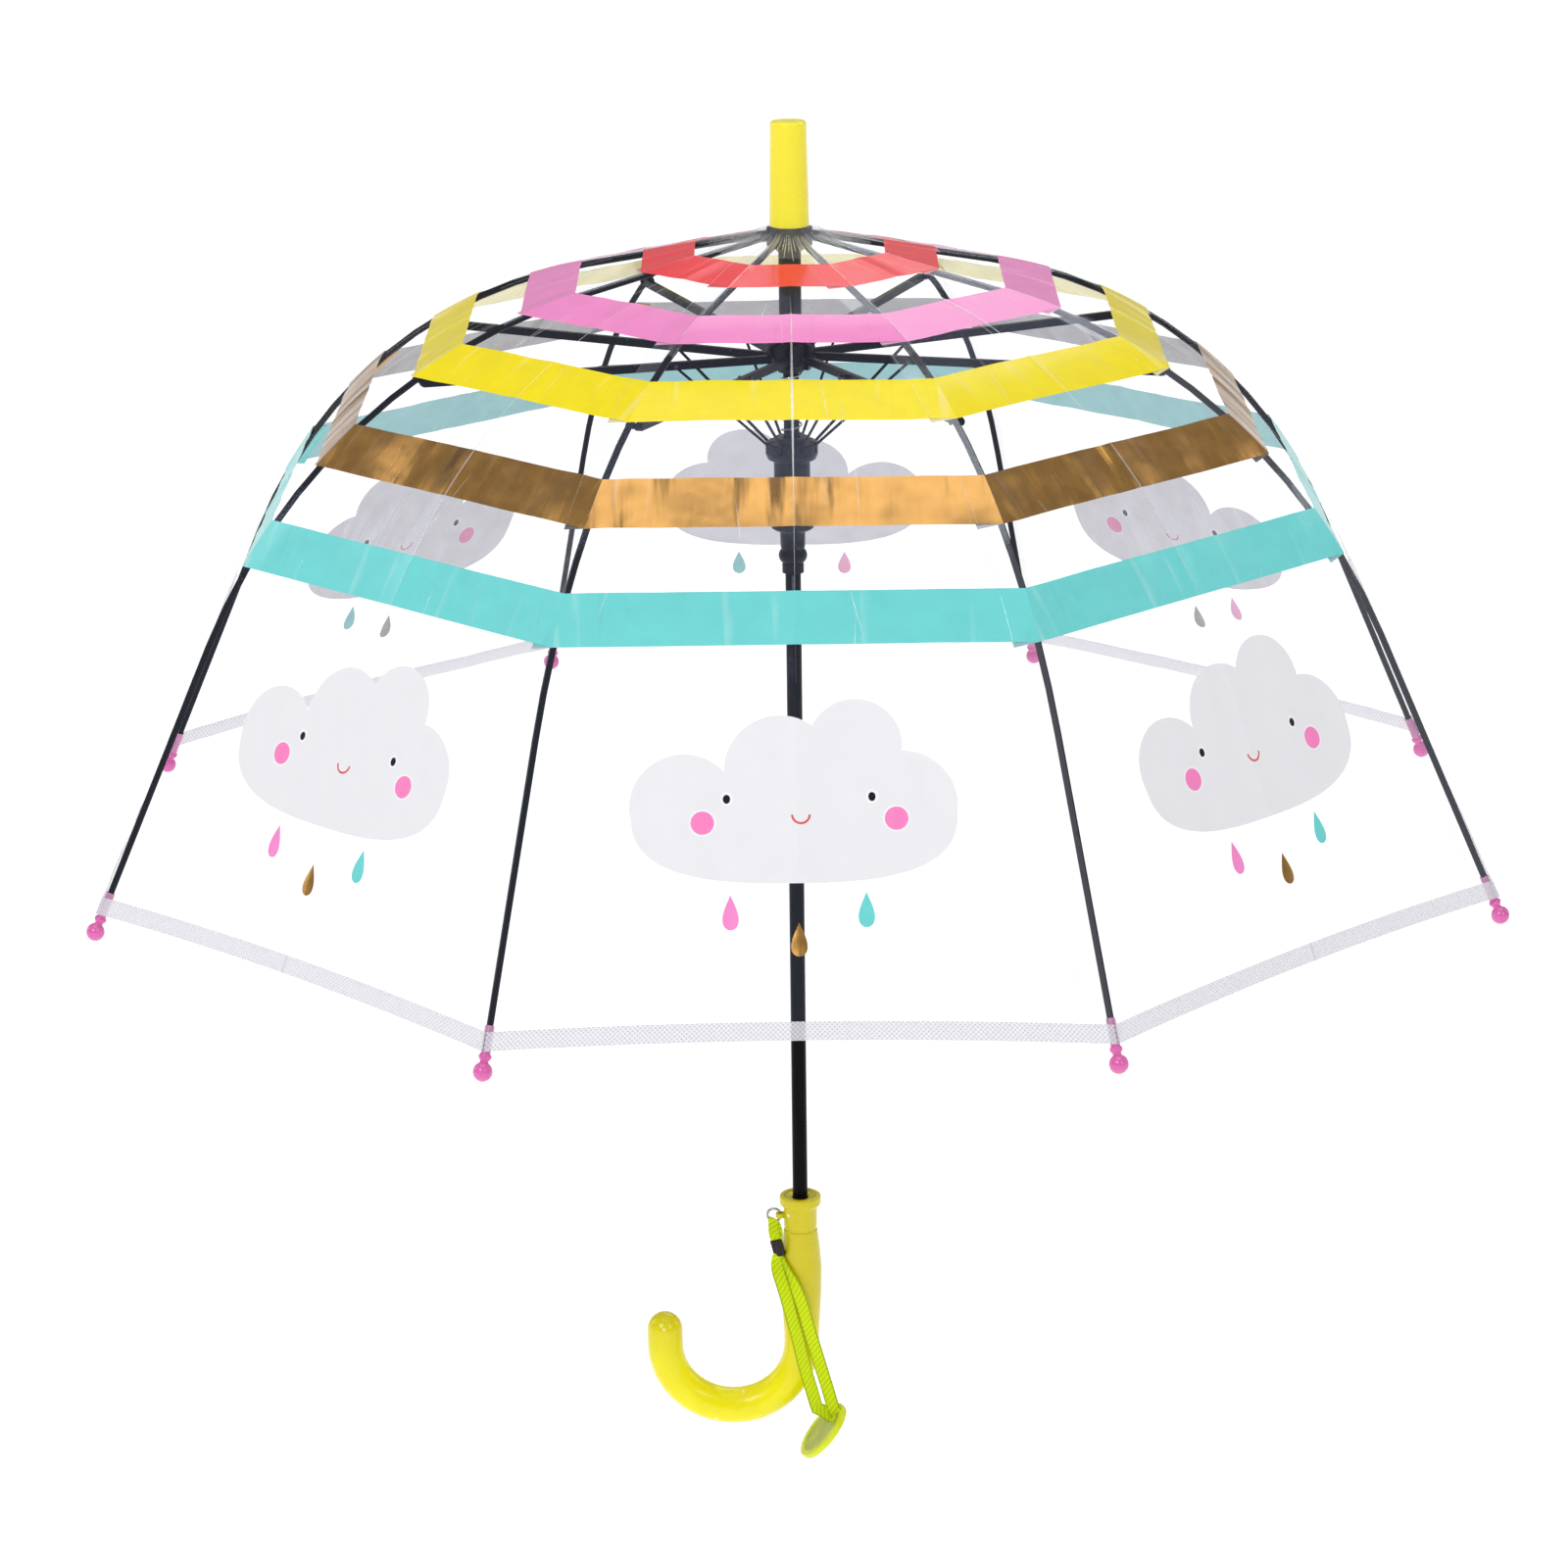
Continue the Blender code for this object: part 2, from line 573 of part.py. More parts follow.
def handle_rings(sides):
    """Rings of the handle: up its blind bore, over the lip, down the grip and round the hook."""
    bore = SHAFT_RADIUS + GAP
    mouth_z = LIP_Z - MOUTH_DEPTH
    turned_part = [(bore, SHAFT_BOTTOM_Z - GAP), (bore, mouth_z - 0.001), (MOUTH_RADIUS, mouth_z),
                   (MOUTH_RADIUS, LIP_Z - 0.0008), (MOUTH_RADIUS + 0.0008, LIP_Z),
                   (LIP_RADIUS - 0.0014, LIP_Z), (LIP_RADIUS - 0.0002, LIP_Z - 0.0012),
                   (LIP_RADIUS, LIP_Z - 0.0030),
                   (LIP_RADIUS - 0.0009, LIP_Z - 0.0048), (NECK_RADIUS, LIP_Z - 0.0062),
                   (NECK_RADIUS, GROOVE_Z + 0.0009), (GROOVE_RADIUS, GROOVE_Z + 0.0003),
                   (GROOVE_RADIUS, GROOVE_Z - 0.0003), (NECK_RADIUS + 0.0002, GROOVE_Z - 0.0009),
                   (0.0098, 0.0120), (GRIP_RADIUS, 0.0020), (GRIP_RADIUS - 0.0001, -0.0080),
                   (0.0099, -0.0190), (0.0093, -0.0300)]
    path = [Vector((0, 0, height)) for _, height in turned_part]
    radii = [radius for radius, _ in turned_part]
    steps = HOOK_STEPS
    for i in range(steps + 1):
        angle = math.pi * i / steps
        path.append(Vector((HOOK_RADIUS * (math.cos(angle) - 1), 0, HOOK_Z - HOOK_RADIUS * math.sin(angle))))
        radii.append(HOOK_TUBE)
    tip = Vector((-2 * HOOK_RADIUS, 0, HOOK_Z + HOOK_TIP_RISE))
    for degrees in (0, 30, 55, 75):
        angle = math.radians(degrees)
        path.append(tip + Vector((0, 0, HOOK_TUBE * math.sin(angle))))
        radii.append(HOOK_TUBE * math.cos(angle))
    across = Vector((0, 1, 0))
    rings = []
    for i, point in enumerate(path):
        along = Vector((0, 0, -1))
        hook_index = i - len(turned_part)
        if 0 <= hook_index <= steps:
            angle = math.pi * hook_index / steps
            along = Vector((-math.sin(angle), 0, -math.cos(angle)))
        elif hook_index > steps:
            along = Vector((0, 0, 1))
        other = along.cross(across)
        ring = []
        for k in range(sides):
            turn = 2 * math.pi * k / sides
            ring.append(point + (across * math.cos(turn) + other * math.sin(turn)) * radii[i])
        rings.append(ring)
    return rings


def make_handle(mat):
    """One moulding: bell mouth, grip, J hook and the drilled tab for the strap ring."""
    handle = add_object("handle", loft(handle_rings(20)), mat)
    tab = bmesh.new()
    root = NECK_RADIUS - 0.0007
    box(tab, (-TAB_REACH, -TAB_SIDE, TAB_Z - TAB_HALF), (-root, TAB_SIDE, TAB_Z + TAB_HALF))
    cut(handle, tab, "UNION")
    hole = bmesh.new()
    centre = Matrix.Translation((RING_X + RING_RADIUS, 0, TAB_Z))
    bmesh.ops.create_cone(hole, cap_ends=True, segments=12, radius1=TAB_HOLE, radius2=TAB_HOLE,
                          depth=4 * TAB_HALF, matrix=centre)
    cut(handle, hole)
    return handle


def make_ring(mat):
    """Wire ring through the tab."""
    rings = []
    sides = 6
    steps = 20
    for i in range(steps):
        angle = 2 * math.pi * i / steps
        out = Vector((math.cos(angle), 0, math.sin(angle)))
        centre = Vector((RING_X, 0, TAB_Z)) + out * RING_RADIUS
        ring = []
        for k in range(sides):
            turn = 2 * math.pi * k / sides
            ring.append(centre + (out * math.cos(turn) + Vector((0, 1, 0)) * math.sin(turn)) * RING_WIRE)
        rings.append(ring)
    return add_object("strap_ring", loft(rings, closed=True), mat)


def make_crimp(mat):
    """Metal crimp that closes the strap below the ring."""
    bm = bmesh.new()
    half = [side / 2 for side in CRIMP_SIZE]
    box(bm, [-side for side in half], half)
    bmesh.ops.bevel(bm, geom=bm.edges, offset=CRIMP_EDGE, segments=1, affect="EDGES")
    place = Matrix.Rotation(CRIMP_ANGLE, 4, "Z") @ Matrix.Translation((CRIMP_OUT, 0, CRIMP_Z))
    bmesh.ops.transform(bm, matrix=place, verts=bm.verts)
    return add_object("strap_crimp", bm, mat)


def smooth_route(points, per_span):
    """Points on a Catmull-Rom curve through the route."""
    route = [Vector(point) for point in points]
    padded = [2 * route[0] - route[1]] + route + [2 * route[-1] - route[-2]]
    result = []
    for i in range(1, len(padded) - 2):
        before, start, end, after = padded[i - 1:i + 3]
        for k in range(per_span):
            t = k / per_span
            result.append(0.5 * (2 * start + (end - before) * t
                                 + (2 * before - 5 * start + 4 * end - after) * t * t
                                 + (3 * start - before - 3 * end + after) * t ** 3))
    result.append(route[-1])
    return result


def make_strap(mat):
    """Doubled wrist strap as one plain tube along its route."""
    points = smooth_route(STRAP_ROUTE, 2)
    curve = bpy.data.curves.new("wrist_strap", "CURVE")
    curve.dimensions = "3D"
    spline = curve.splines.new("POLY")
    spline.points.add(len(points) - 1)
    for target, point in zip(spline.points, points):
        target.co = (*point, 1.0)
    curve.bevel_depth = STRAP_RADIUS
    curve.bevel_resolution = 2
    curve.use_fill_caps = True
    curve.materials.append(mat)
    strap = bpy.data.objects.new("wrist_strap", curve)
    bpy.context.scene.collection.objects.link(strap)
    return strap


def make_disc(mat):
    """Flat disc at the end of the strap."""
    bm = bmesh.new()
    place = Matrix.Translation(DISC_CENTRE) @ DISC_NORMAL.to_track_quat("Z", "Y").to_matrix().to_4x4()
    bmesh.ops.create_cone(bm, cap_ends=True, segments=32, radius1=DISC_RADIUS, radius2=DISC_RADIUS,
                          depth=DISC_THICKNESS, matrix=place)
    return add_object("strap_disc", bm, mat)


def build():
    """Make every sub-part and hang the moving ones on empties at their joints."""
    clear_scene()
    black_metal = material("black_metal", (0.012, 0.012, 0.014), 0.35, 0.7)
    black_plastic = material("black_plastic", (0.012, 0.012, 0.015), 0.45)
    yellow_plastic = material("yellow_plastic", (0.87, 0.72, 0.03), 0.28)
    pink_plastic = material("pink_plastic", (0.75, 0.13, 0.40), 0.25)
    steel = material("steel", (0.55, 0.55, 0.56), 0.3, 1.0)
    film = material("clear_film", (0.92, 0.93, 0.95), 0.1, alpha=0.35)
    tape = material("hem_tape", (0.80, 0.80, 0.85), 0.7, alpha=0.8)
    webbing = material("neon_webbing", (0.55, 0.85, 0.01), 0.8)
    pale_disc = material("pale_disc", (0.65, 0.70, 0.10), 0.4)

    make_shaft(black_metal)
    make_cap(yellow_plastic)
    make_notch(black_plastic)
    make_handle(yellow_plastic)
    make_ring(steel)

    catch_slide = add_empty("catch_slide", Matrix.Translation((0, -SHAFT_RADIUS, RUNNER_BOTTOM_Z)))
    hang(make_catch(black_metal), catch_slide)
    runner_slide = add_empty("runner_slide", Matrix.Translation((0, 0, RUNNER_PIVOT_Z)))
    hub_slide = add_empty("hub_slide", Matrix.Translation((0, 0, HUB_PIVOT_Z)))
    hang(hub_slide, runner_slide)
    hang(make_runner(black_plastic), runner_slide)
    hang(make_spring(steel), runner_slide)
    hang(make_hub(black_plastic), hub_slide)
    strap_hinge = add_empty("strap_hinge", Matrix.Translation((RING_X, 0, TAB_Z - RING_RADIUS)))
    for piece in (make_crimp(steel), make_strap(webbing), make_disc(pale_disc)):
        hang(piece, strap_hinge)

    for index in range(RIB_COUNT):
        rib_hinge = hinge_empty(f"rib_hinge_{index + 1}", index, PIVOT_RADIUS, PIVOT_Z)
        for maker, mat in ((make_rib, black_plastic), (make_tip, pink_plastic),
                           (make_gore, film), (make_hem, tape)):
            hang(maker(index, mat), rib_hinge)
        arm_hinge = hinge_empty(f"stretcher_hinge_{index + 1}", index, HUB_PIVOT_RADIUS, HUB_PIVOT_Z)
        hang(arm_hinge, hub_slide)
        hang(make_stretcher(index, black_plastic), arm_hinge)
        link_hinge = hinge_empty(f"link_hinge_{index + 1}", index, RUNNER_PIVOT_RADIUS, RUNNER_PIVOT_Z)
        hang(link_hinge, runner_slide)
        hang(make_link(index, black_metal), link_hinge)


build()
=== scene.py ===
"""Looks of the children's dome umbrella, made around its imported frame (metres, +Z up the shaft).

The film is drawn flat, gore by gore: "run" is the length along the ribs from their pivots, and "across"
is the distance from a gore's middle line. The flat drawing is then bent onto the dome. A gore has two
halves, left (side -1) and right (side 1), which meet on that middle line.
"""
from math import atan2, copysign, cos, exp, pi, radians, sin, tan

import bmesh
import bpy
import numpy as np
from mathutils import Matrix, Vector, noise
from mathutils.geometry import delaunay_2d_cdt, interpolate_bezier


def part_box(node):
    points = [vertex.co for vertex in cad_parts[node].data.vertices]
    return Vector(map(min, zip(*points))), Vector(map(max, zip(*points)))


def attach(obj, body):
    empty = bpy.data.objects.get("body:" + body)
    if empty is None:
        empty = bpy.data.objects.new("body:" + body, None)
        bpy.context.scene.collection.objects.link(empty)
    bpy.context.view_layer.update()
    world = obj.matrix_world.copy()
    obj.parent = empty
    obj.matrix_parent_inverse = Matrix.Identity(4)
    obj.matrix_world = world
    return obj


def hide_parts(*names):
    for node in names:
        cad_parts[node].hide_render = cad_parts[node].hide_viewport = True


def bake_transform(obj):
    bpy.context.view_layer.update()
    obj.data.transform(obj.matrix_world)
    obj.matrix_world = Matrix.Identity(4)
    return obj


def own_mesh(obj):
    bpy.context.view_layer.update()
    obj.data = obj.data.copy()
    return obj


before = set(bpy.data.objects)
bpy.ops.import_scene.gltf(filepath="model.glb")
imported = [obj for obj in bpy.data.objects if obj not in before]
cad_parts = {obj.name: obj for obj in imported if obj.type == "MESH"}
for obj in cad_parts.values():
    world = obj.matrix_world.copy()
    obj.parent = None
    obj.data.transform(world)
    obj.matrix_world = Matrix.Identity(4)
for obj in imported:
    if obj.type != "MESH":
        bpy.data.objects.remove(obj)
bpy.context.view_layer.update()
MM = 0.001

# The dome, as the frame has it
RIB_COUNT = 8
NUMBERS = range(1, RIB_COUNT + 1)
RIB_STEP = radians(360 / RIB_COUNT)
HALF_STEP = RIB_STEP / 2
FIRST_RIB_ANGLE = radians(-67.5)
PIVOT_RADIUS = 0.009
PIVOT_Z = 0.533
RIB_TOP_SLOPE = radians(12.0)
RIB_TOP_RUN = 0.0995
RIB_BEND_RADIUS = 0.2694
RIB_SIDE_SLOPE = radians(64.95)
RIB_BEND_RUN = RIB_BEND_RADIUS * (RIB_SIDE_SLOPE - RIB_TOP_SLOPE)
RIB_LENGTH = 0.4925

# Film
SIDES = {-1: "left", 1: "right"}
FILM_LIFT = 0.0022
COLLAR_RUN = 0.0125
COLLAR_TOP_RUN = 0.0020
COLLAR_TOP_RADIUS = 0.0102
COLLAR_TOP_Z = 0.5376
FILM_END = 0.4775
HEM_START = 0.4757
HEM_END = 0.4842
HEM_ARCH = 0.0032
HEM_ARCH_START = 0.430
FILM_CELL = 0.0052
ROW_STEP = 0.87 * FILM_CELL
POINT_GAP = 0.55 * FILM_CELL
SLIVER = 1e-10
GATHER_END = 0.0330
FLAP_WIDTH = 0.0115
FLAP_DROP = 0.0026
FLAP_LIFT = -0.0003
# The crease line: a whitish strip along the ridge down a gore's middle, a painted highlight
CREASE_GLINT_START = 0.075
CREASE_GLINT_END = 0.325
CREASE_GLINT_WIDTHS = (0.00008, 0.0007)
CREASE_GLINT_LIFT = 0.00022
WELD_WIDTH = 0.0003
WELD_LIFT = 0.0003
LINE_LIFT = 0.00012
RIB_SEAM_START = 0.006
RIB_SEAM_END = 0.140
RIB_SEAM_CELL = 0.005
HEM_CELL = 0.045

# Wrinkles, with heights in mm: how fast they change across, aslant and along, their seed's shift, height.
# Then those drawn out from the ribs, the waves at the top, and the ridge down a gore's middle.
WRINKLES = ((16, 0, 11, 0, 1.0), (62, 9, 10, 5, 0.42), (120, 0, 75, 9, 0.14))
DRAWN_HEIGHT = 0.65
WAVE_HEIGHT = 0.35
RIDGE_HEIGHT = 0.45
RIDGE_HALF = 0.007
EDGE_FADE = 0.014

# Painted glare lines: at the gathered film by the notch, and lower down at scuff marks. Limits are least and
# most; a scuff line's are start, length, share and lean.
PLEAT_GLINTS = 7
PLEAT_GLINT_STARTS = (0.0055, 0.0095)
PLEAT_GLINT_ENDS = (0.020, 0.044)
PLEAT_GLINT_SHARES = (0.3, 0.8)
PLEAT_GLINT_LEANS = (-0.05, 0.05)
PLEAT_GLINT_WIDTHS = (0.00007, 0.00020)
SCUFF_GLINTS = 5
SCUFF_GLINT_LIMITS = ((0.06, 0.30), (0.015, 0.045), (0.08, 0.88), (-0.08, 0.08))
SCUFF_GLINT_WIDTHS = (0.00003, 0.00013)

# Prints, in runs along the ribs. A lobe is across, run and radius, and a drop is print, across and top.
# An oval of the face is print, half sizes, steps and centres.
STRIPES = (("ink_red", 0.0403, 0.0683), ("ink_pink", 0.1020, 0.1307), ("ink_yellow", 0.1613, 0.1893),
           ("ink_gold", 0.2236, 0.2501), ("ink_teal", 0.2822, 0.3074))
CLOUD_LOBES = ((-0.0490, 0.3790, 0.0235), (-0.0075, 0.3630, 0.0240), (0.0250, 0.3525, 0.0204),
               (0.0450, 0.3790, 0.0240), (0.0150, 0.3680, 0.0140))
CLOUD_BASE = (-0.0015, 0.3800, 0.0705, 0.0326)
CLOUD_BASE_POWER = 2.8
EYES = ((-0.0305, 0.3755), (0.0320, 0.3750))
CHEEKS = ((-0.0410, 0.3858), (0.0425, 0.3846))
OVALS = (("ink_white", (0.0028, 0.0032), 20, EYES), ("ink_white", (0.0059, 0.0059), 28, CHEEKS),
         ("ink_navy", (0.0016, 0.0020), 16, EYES), ("ink_cheek", (0.0051, 0.0051), 28, CHEEKS))
SMILE = (0.0014, 0.3826)
SMILE_RADII = (0.0043, 0.0033)
DROPS = (("ink_pink", -0.0293, 0.4172), ("ink_teal", 0.0291, 0.4165), ("ink_gold", 0.0001, 0.4295))
DROP_RADIUS = 0.0050
DROP_LENGTH = 0.0156

# Camera and light. A soft box is name, place, size and power.
CAMERA_TARGET = Vector((-0.0057, 0.0, 0.259))
CAMERA_DISTANCE = 2.275
CAMERA_RISE = radians(17.0)
CAMERA_ROLL = radians(-0.69)
CAMERA_LENS = 105.75
FLOOR_Z = -0.120
FLOOR_SIZE = 60.0
FLOOR_GLOW = 0.91
WORLD_LIGHT = 0.30
LIGHT_TARGET = Vector((0.0, 0.0, 0.30))
SOFT_BOXES = (
    ("key_box", (-1.7, -3.0, 2.9), (1.5, 1.5), 58),
    ("fill_box", (2.2, -2.6, 2.2), (0.5, 1.8), 16),
    ("top_box", (0.0, -0.1, 3.4), (2.4, 2.4), 28),
    ("back_box", (0.6, 2.9, 2.6), (2.2, 1.4), 16),
    ("left_box", (-3.0, 1.2, 1.4), (0.8, 1.8), 10),
    ("right_box", (3.0, 1.2, 1.4), (0.8, 1.8), 8),
)

# ------ materials

MATS = {}
WHITE = (1.0, 1.0, 1.0, 1.0)
BLACK = (0.0, 0.0, 0.0, 1.0)
EVEN = (1.0, 1.0, 1.0)
FILM_BUMP = 0.0012
BLACK_SPECULAR = 0.06
METAL_SPECULAR = 0.5

# Alpha, roughness, colour, bump strength and metallic
FILMS = {
    "film_clear": (0.042, 0.10, (0.62, 0.70, 1.0, 1.0), 0.60, 0.6),
    "film_seam": (0.13, 0.14, (0.90, 0.93, 1.0, 1.0), 0.7, 0.8),
    # A whiter, denser film near the notch: partly the haze of the gathered film, partly painted glare
    "film_gather_glare": (0.13, 0.20, (0.78, 0.78, 0.90, 1.0), 1.2, 0.25),
    # A whiter, denser film for the painted highlight lines along the crease, the gathered film and scuff
    # marks
    "film_glare_line": (0.50, 0.30, (0.97, 0.98, 1.0, 1.0), 0.9, 0.5),
}
# sRGB of the outer and the inner face, and how strong the ink's mottle is; the same number sets its painted
# glare streaks and painted fold shade
INKS = {
    "ink_red": ((248, 38, 52), (226, 128, 132), 0.05),
    "ink_pink": ((254, 146, 211), (226, 172, 202), 0.05),
    "ink_yellow": ((254, 232, 12), (242, 232, 176), 0.05),
    "ink_teal": ((114, 217, 216), (150, 198, 202), 0.05),
    "ink_cloud": ((239, 239, 243), (208, 207, 214), 0.012),
    "ink_white": ((250, 250, 252), (215, 214, 219), 0.05),
    "ink_navy": ((12, 16, 36), (90, 92, 104), 0.0),
    "ink_cheek": ((253, 136, 199), (214, 146, 180), 0.02),
    "ink_coral": ((222, 92, 94), (200, 140, 145), 0.05),
}
GOLD = (0.59, 0.315, 0.088, 1.0)
# Colour, roughness, share of small bright specks (scuff marks and painted glints) and metallic
METALS = {
    "rib_fibre": ((0.003, 0.003, 0.0035, 1.0), 0.38, 0.03, 0.0),
    "shaft_black": ((0.002, 0.002, 0.003, 1.0), 0.24, 0.16, 0.0),
    "arm_black": ((0.005, 0.005, 0.008, 1.0), 0.30, 0.22, 0.0),
    "steel_wire": ((0.34, 0.34, 0.36, 1.0), 0.20, 0.2, 1.0),
    "rivet_steel": ((0.05, 0.05, 0.06, 1.0), 0.30, 0.3, 1.0),
    "black_nickel": ((0.030, 0.026, 0.028, 1.0), 0.16, 0.5, 1.0),
}


def srgb(red, green, blue):
    """Linear colour of an 8-bit sRGB colour."""
    shares = [value / 255 for value in (red, green, blue)]
    linear = [share / 12.92 if share <= 0.04045 else ((share + 0.055) / 1.055) ** 2.4 for share in shares]
    return (*linear, 1.0)


def scaled(colour, factor, lift=0.0):
    """A colour made darker or lighter, never past full."""
    return (*(min(1.0, value * factor + lift) for value in colour[:3]), 1.0)


def node(tree, kind, inputs=None, **settings):
    """Add a shader node, set it up and link or fill its inputs."""
    made = tree.nodes.new("ShaderNode" + kind)
    for key, value in settings.items():
        setattr(made, key, value)
    for key, value in (inputs or {}).items():
        if isinstance(value, bpy.types.NodeSocket):
            tree.links.new(value, made.inputs[key])
        else:
            made.inputs[key].default_value = value
    return made


class Surface:
    """A Principled material, kept in MATS under its name, and short ways to build its nodes."""

    def __init__(self, name, **sockets):
        """The keywords are the shader's sockets, with _ for a space."""
        mat = bpy.data.materials.new(name)
        mat.use_nodes = True
        MATS[name] = mat
        self.tree = mat.node_tree
        self.shader = self.tree.nodes["Principled BSDF"]
        for key, value in sockets.items():
            self.shader.inputs[key.replace("_", " ")].default_value = value

    def node(self, kind, output, inputs=None, **settings):
        """One output of a new node."""
        return node(self.tree, kind, inputs, **settings).outputs[output]

    def place(self, kind="Object", stretch=EVEN, turn=0.0):
        """Object coordinates, or the flat drawing's in metres, stretched and turned about Z."""
        if kind == "Flat":
            source = self.node("UVMap", "UV", uv_map="flat")
        else:
            source = self.node("TexCoord", "Object")
        return self.node("Mapping", "Vector", {"Vector": source, "Scale": stretch, "Rotation": (0, 0, turn)})

    def noise(self, scale, detail, roughness=0.55, kind="Object", stretch=EVEN, turn=0.0):
        """Noise from 0 to 1."""
        place = self.place(kind, stretch, turn)
        return self.node("TexNoise", "Fac", {"Vector": place, "Scale": scale, "Detail": detail,
                                             "Roughness": roughness})

    def wave(self, scale, distortion, detail, turn=0.0):
        """Even threads across the flat drawing."""
        place = self.place("Flat", EVEN, turn)
        return self.node("TexWave", "Fac", {"Vector": place, "Scale": scale, "Distortion": distortion,
                                            "Detail": detail})

    def remap(self, value, low, high, least=0.0, most=1.0):
        """Clamped linear change of range."""
        return self.node("MapRange", "Result", {"Value": value, "From Min": low, "From Max": high,
                                                "To Min": least, "To Max": most})

    def maths(self, operation, *values):
        """One maths node."""
        return self.node("Math", 0, dict(enumerate(values)), operation=operation)

    def plus(self, base, extra, share):
        """A height with a share of another added."""
        return self.maths("ADD", self.maths("MULTIPLY", extra, share), base)

    def mix(self, share, first, second):
        """Colour between two, by a share."""
        return self.node("MixRGB", "Color", {"Fac": share, "Color1": first, "Color2": second})

    def cover(self, base, colour, mask, low, high, share=1.0):
        """A base with up to a share of a colour over it, as a mask goes from low to high."""
        return self.mix(self.remap(mask, low, high, 0.0, share), base, colour)

    def paint(self, colour):
        """Link the shader's colour."""
        self.tree.links.new(colour, self.shader.inputs["Base Color"])

    def dull(self, mask, low, high, least, most):
        """Roughness from least to most, as a mask goes from low to high."""
        self.tree.links.new(self.remap(mask, low, high, least, most), self.shader.inputs["Roughness"])

    def bump(self, height, strength, distance):
        """Bump by a height, whose full range is a distance in metres."""
        normal = self.node("Bump", "Normal", {"Height": height, "Strength": strength, "Distance": distance})
        self.tree.links.new(normal, self.shader.inputs["Normal"])

    def crumple(self):
        """Height of the soft crumples and pack creases in plastic film."""
        soft = self.noise(38.0, 2.0, kind="Flat")
        long_fold = self.noise(1.0, 3.0, kind="Flat", stretch=(60.0, 9.0, 1.0))
        return self.plus(long_fold, soft, 0.6)


def film_material(name, alpha, roughness, tint, bump, metallic):
    """Clear film: it mirrors a little of the room and lets the rest through."""
    film = Surface(name, Base_Color=tint, Metallic=metallic, Roughness=roughness, Alpha=alpha)
    film.bump(film.crumple(), bump, FILM_BUMP)
    film.dull(film.noise(240.0, 4.0, kind="Flat"), 0.35, 0.75, roughness * 0.7, roughness * 1.6)


def ink_material(name, colour, back, mottle_and_painted_streaks, metallic=0.0, roughness=0.36, folds=0.45):
    """Opaque ink on film: slight mottle, creases, painted glare streaks and painted fold shade, darker where
    two layers overlap, its own underside.
    """
    ink = Surface(name, Metallic=metallic, Coat_Weight=0.35, Coat_Roughness=0.12, Specular_IOR_Level=0.20)
    mottle = ink.noise(75.0, 4.0, 0.6, "Flat")
    grain = ink.noise(2600.0, 2.0, 0.7, "Flat")
    # Long thin streaks for the painted glare and the painted fold shade
    streak = ink.noise(1.0, 2.0, 0.4, "Flat", (130.0, 13.0, 1.0), 0.12)
    broad = ink.noise(1.0, 0.0, 0.4, "Flat", (44.0, 13.0, 1.0), 0.45)
    front = ink.cover(scaled(colour, 1 - mottle_and_painted_streaks), scaled(colour, 1 + mottle_and_painted_streaks / 2), mottle, 0.3, 0.7)
    front = ink.cover(front, WHITE, grain, 0.64, 0.8, 0.05)
    # Painted glare lightens the ink along some streaks, and painted fold shade darkens it along others
    front = ink.cover(front, WHITE, streak, 0.63, 0.78, 4 * mottle_and_painted_streaks)
    front = ink.cover(front, BLACK, streak, 0.36, 0.20, 2 * mottle_and_painted_streaks)
    ply = ink.node("Attribute", "Fac", attribute_name="ply", attribute_type="GEOMETRY")
    front = ink.mix(ink.maths("MULTIPLY", ply, 0.16), front, BLACK)
    under = ink.cover(back, scaled(back, 0.9), mottle, 0.35, 0.7)
    ink.paint(ink.mix(ink.node("NewGeometry", "Backfacing"), front, under))
    ink.dull(mottle, 0.3, 0.7, roughness - 0.07, roughness + 0.08)
    ink.bump(ink.plus(ink.maths("MULTIPLY", broad, 2.2), ink.crumple(), 0.4), folds, FILM_BUMP)


def moulded_material(name, colour, roughness, wear, coat=0.0, subsurface=0.0, specular=0.30, alpha=1.0):
    """Injection-moulded plastic: faint flow marks, orange peel and rubbed, duller patches."""
    plastic = Surface(name, Coat_Weight=coat, Coat_Roughness=0.08, Specular_IOR_Level=specular,
                      Subsurface_Weight=subsurface, Subsurface_Scale=0.004, Alpha=alpha)
    flow = plastic.noise(90.0, 4.0, stretch=(1.0, 1.0, 0.35))
    peel = plastic.noise(700.0, 2.0)
    rub = plastic.noise(45.0, 5.0, 0.7)
    dark, light = scaled(colour, 1 - wear), scaled(colour, 1 + wear / 2, 0.002)
    plastic.paint(plastic.cover(dark, light, flow, 0.3, 0.7))
    plastic.dull(rub, 0.4, 0.75, roughness * 0.85, roughness * 1.35)
    plastic.bump(plastic.plus(peel, flow, 1.5), 0.12, 0.00015)


def grip_material():
    """Yellow handle plastic, a little darker on the upper grip than on the hook."""
    grip = Surface("handle_yellow", Coat_Weight=0.30, Coat_Roughness=0.06, Specular_IOR_Level=0.30)
    height = grip.node("SeparateXYZ", "Z", {"Vector": grip.place()})
    flow = grip.noise(80.0, 4.0, stretch=(1.0, 1.0, 0.4))
    spots = grip.node("TexVoronoi", "Distance", {"Vector": grip.place(), "Scale": 85.0})
    # Darker upward, from the hook to the upper grip
    body = grip.cover(srgb(253, 242, 0), srgb(217, 203, 8), height, -0.052, -0.012)
    body = grip.cover(body, srgb(214, 200, 0), flow, 0.35, 0.75, 0.30)
    body = grip.cover(body, srgb(255, 255, 150), grip.noise(900.0, 2.0, 0.7), 0.66, 0.8, 0.20)
    grip.paint(grip.cover(body, (1.0, 1.0, 0.92, 1.0), spots, 0.085, 0.055, 0.85))
    grip.dull(grip.noise(60.0, 4.0), 0.35, 0.7, 0.20, 0.40)
    grip.bump(grip.noise(420.0, 2.0), 0.16, 0.00025)


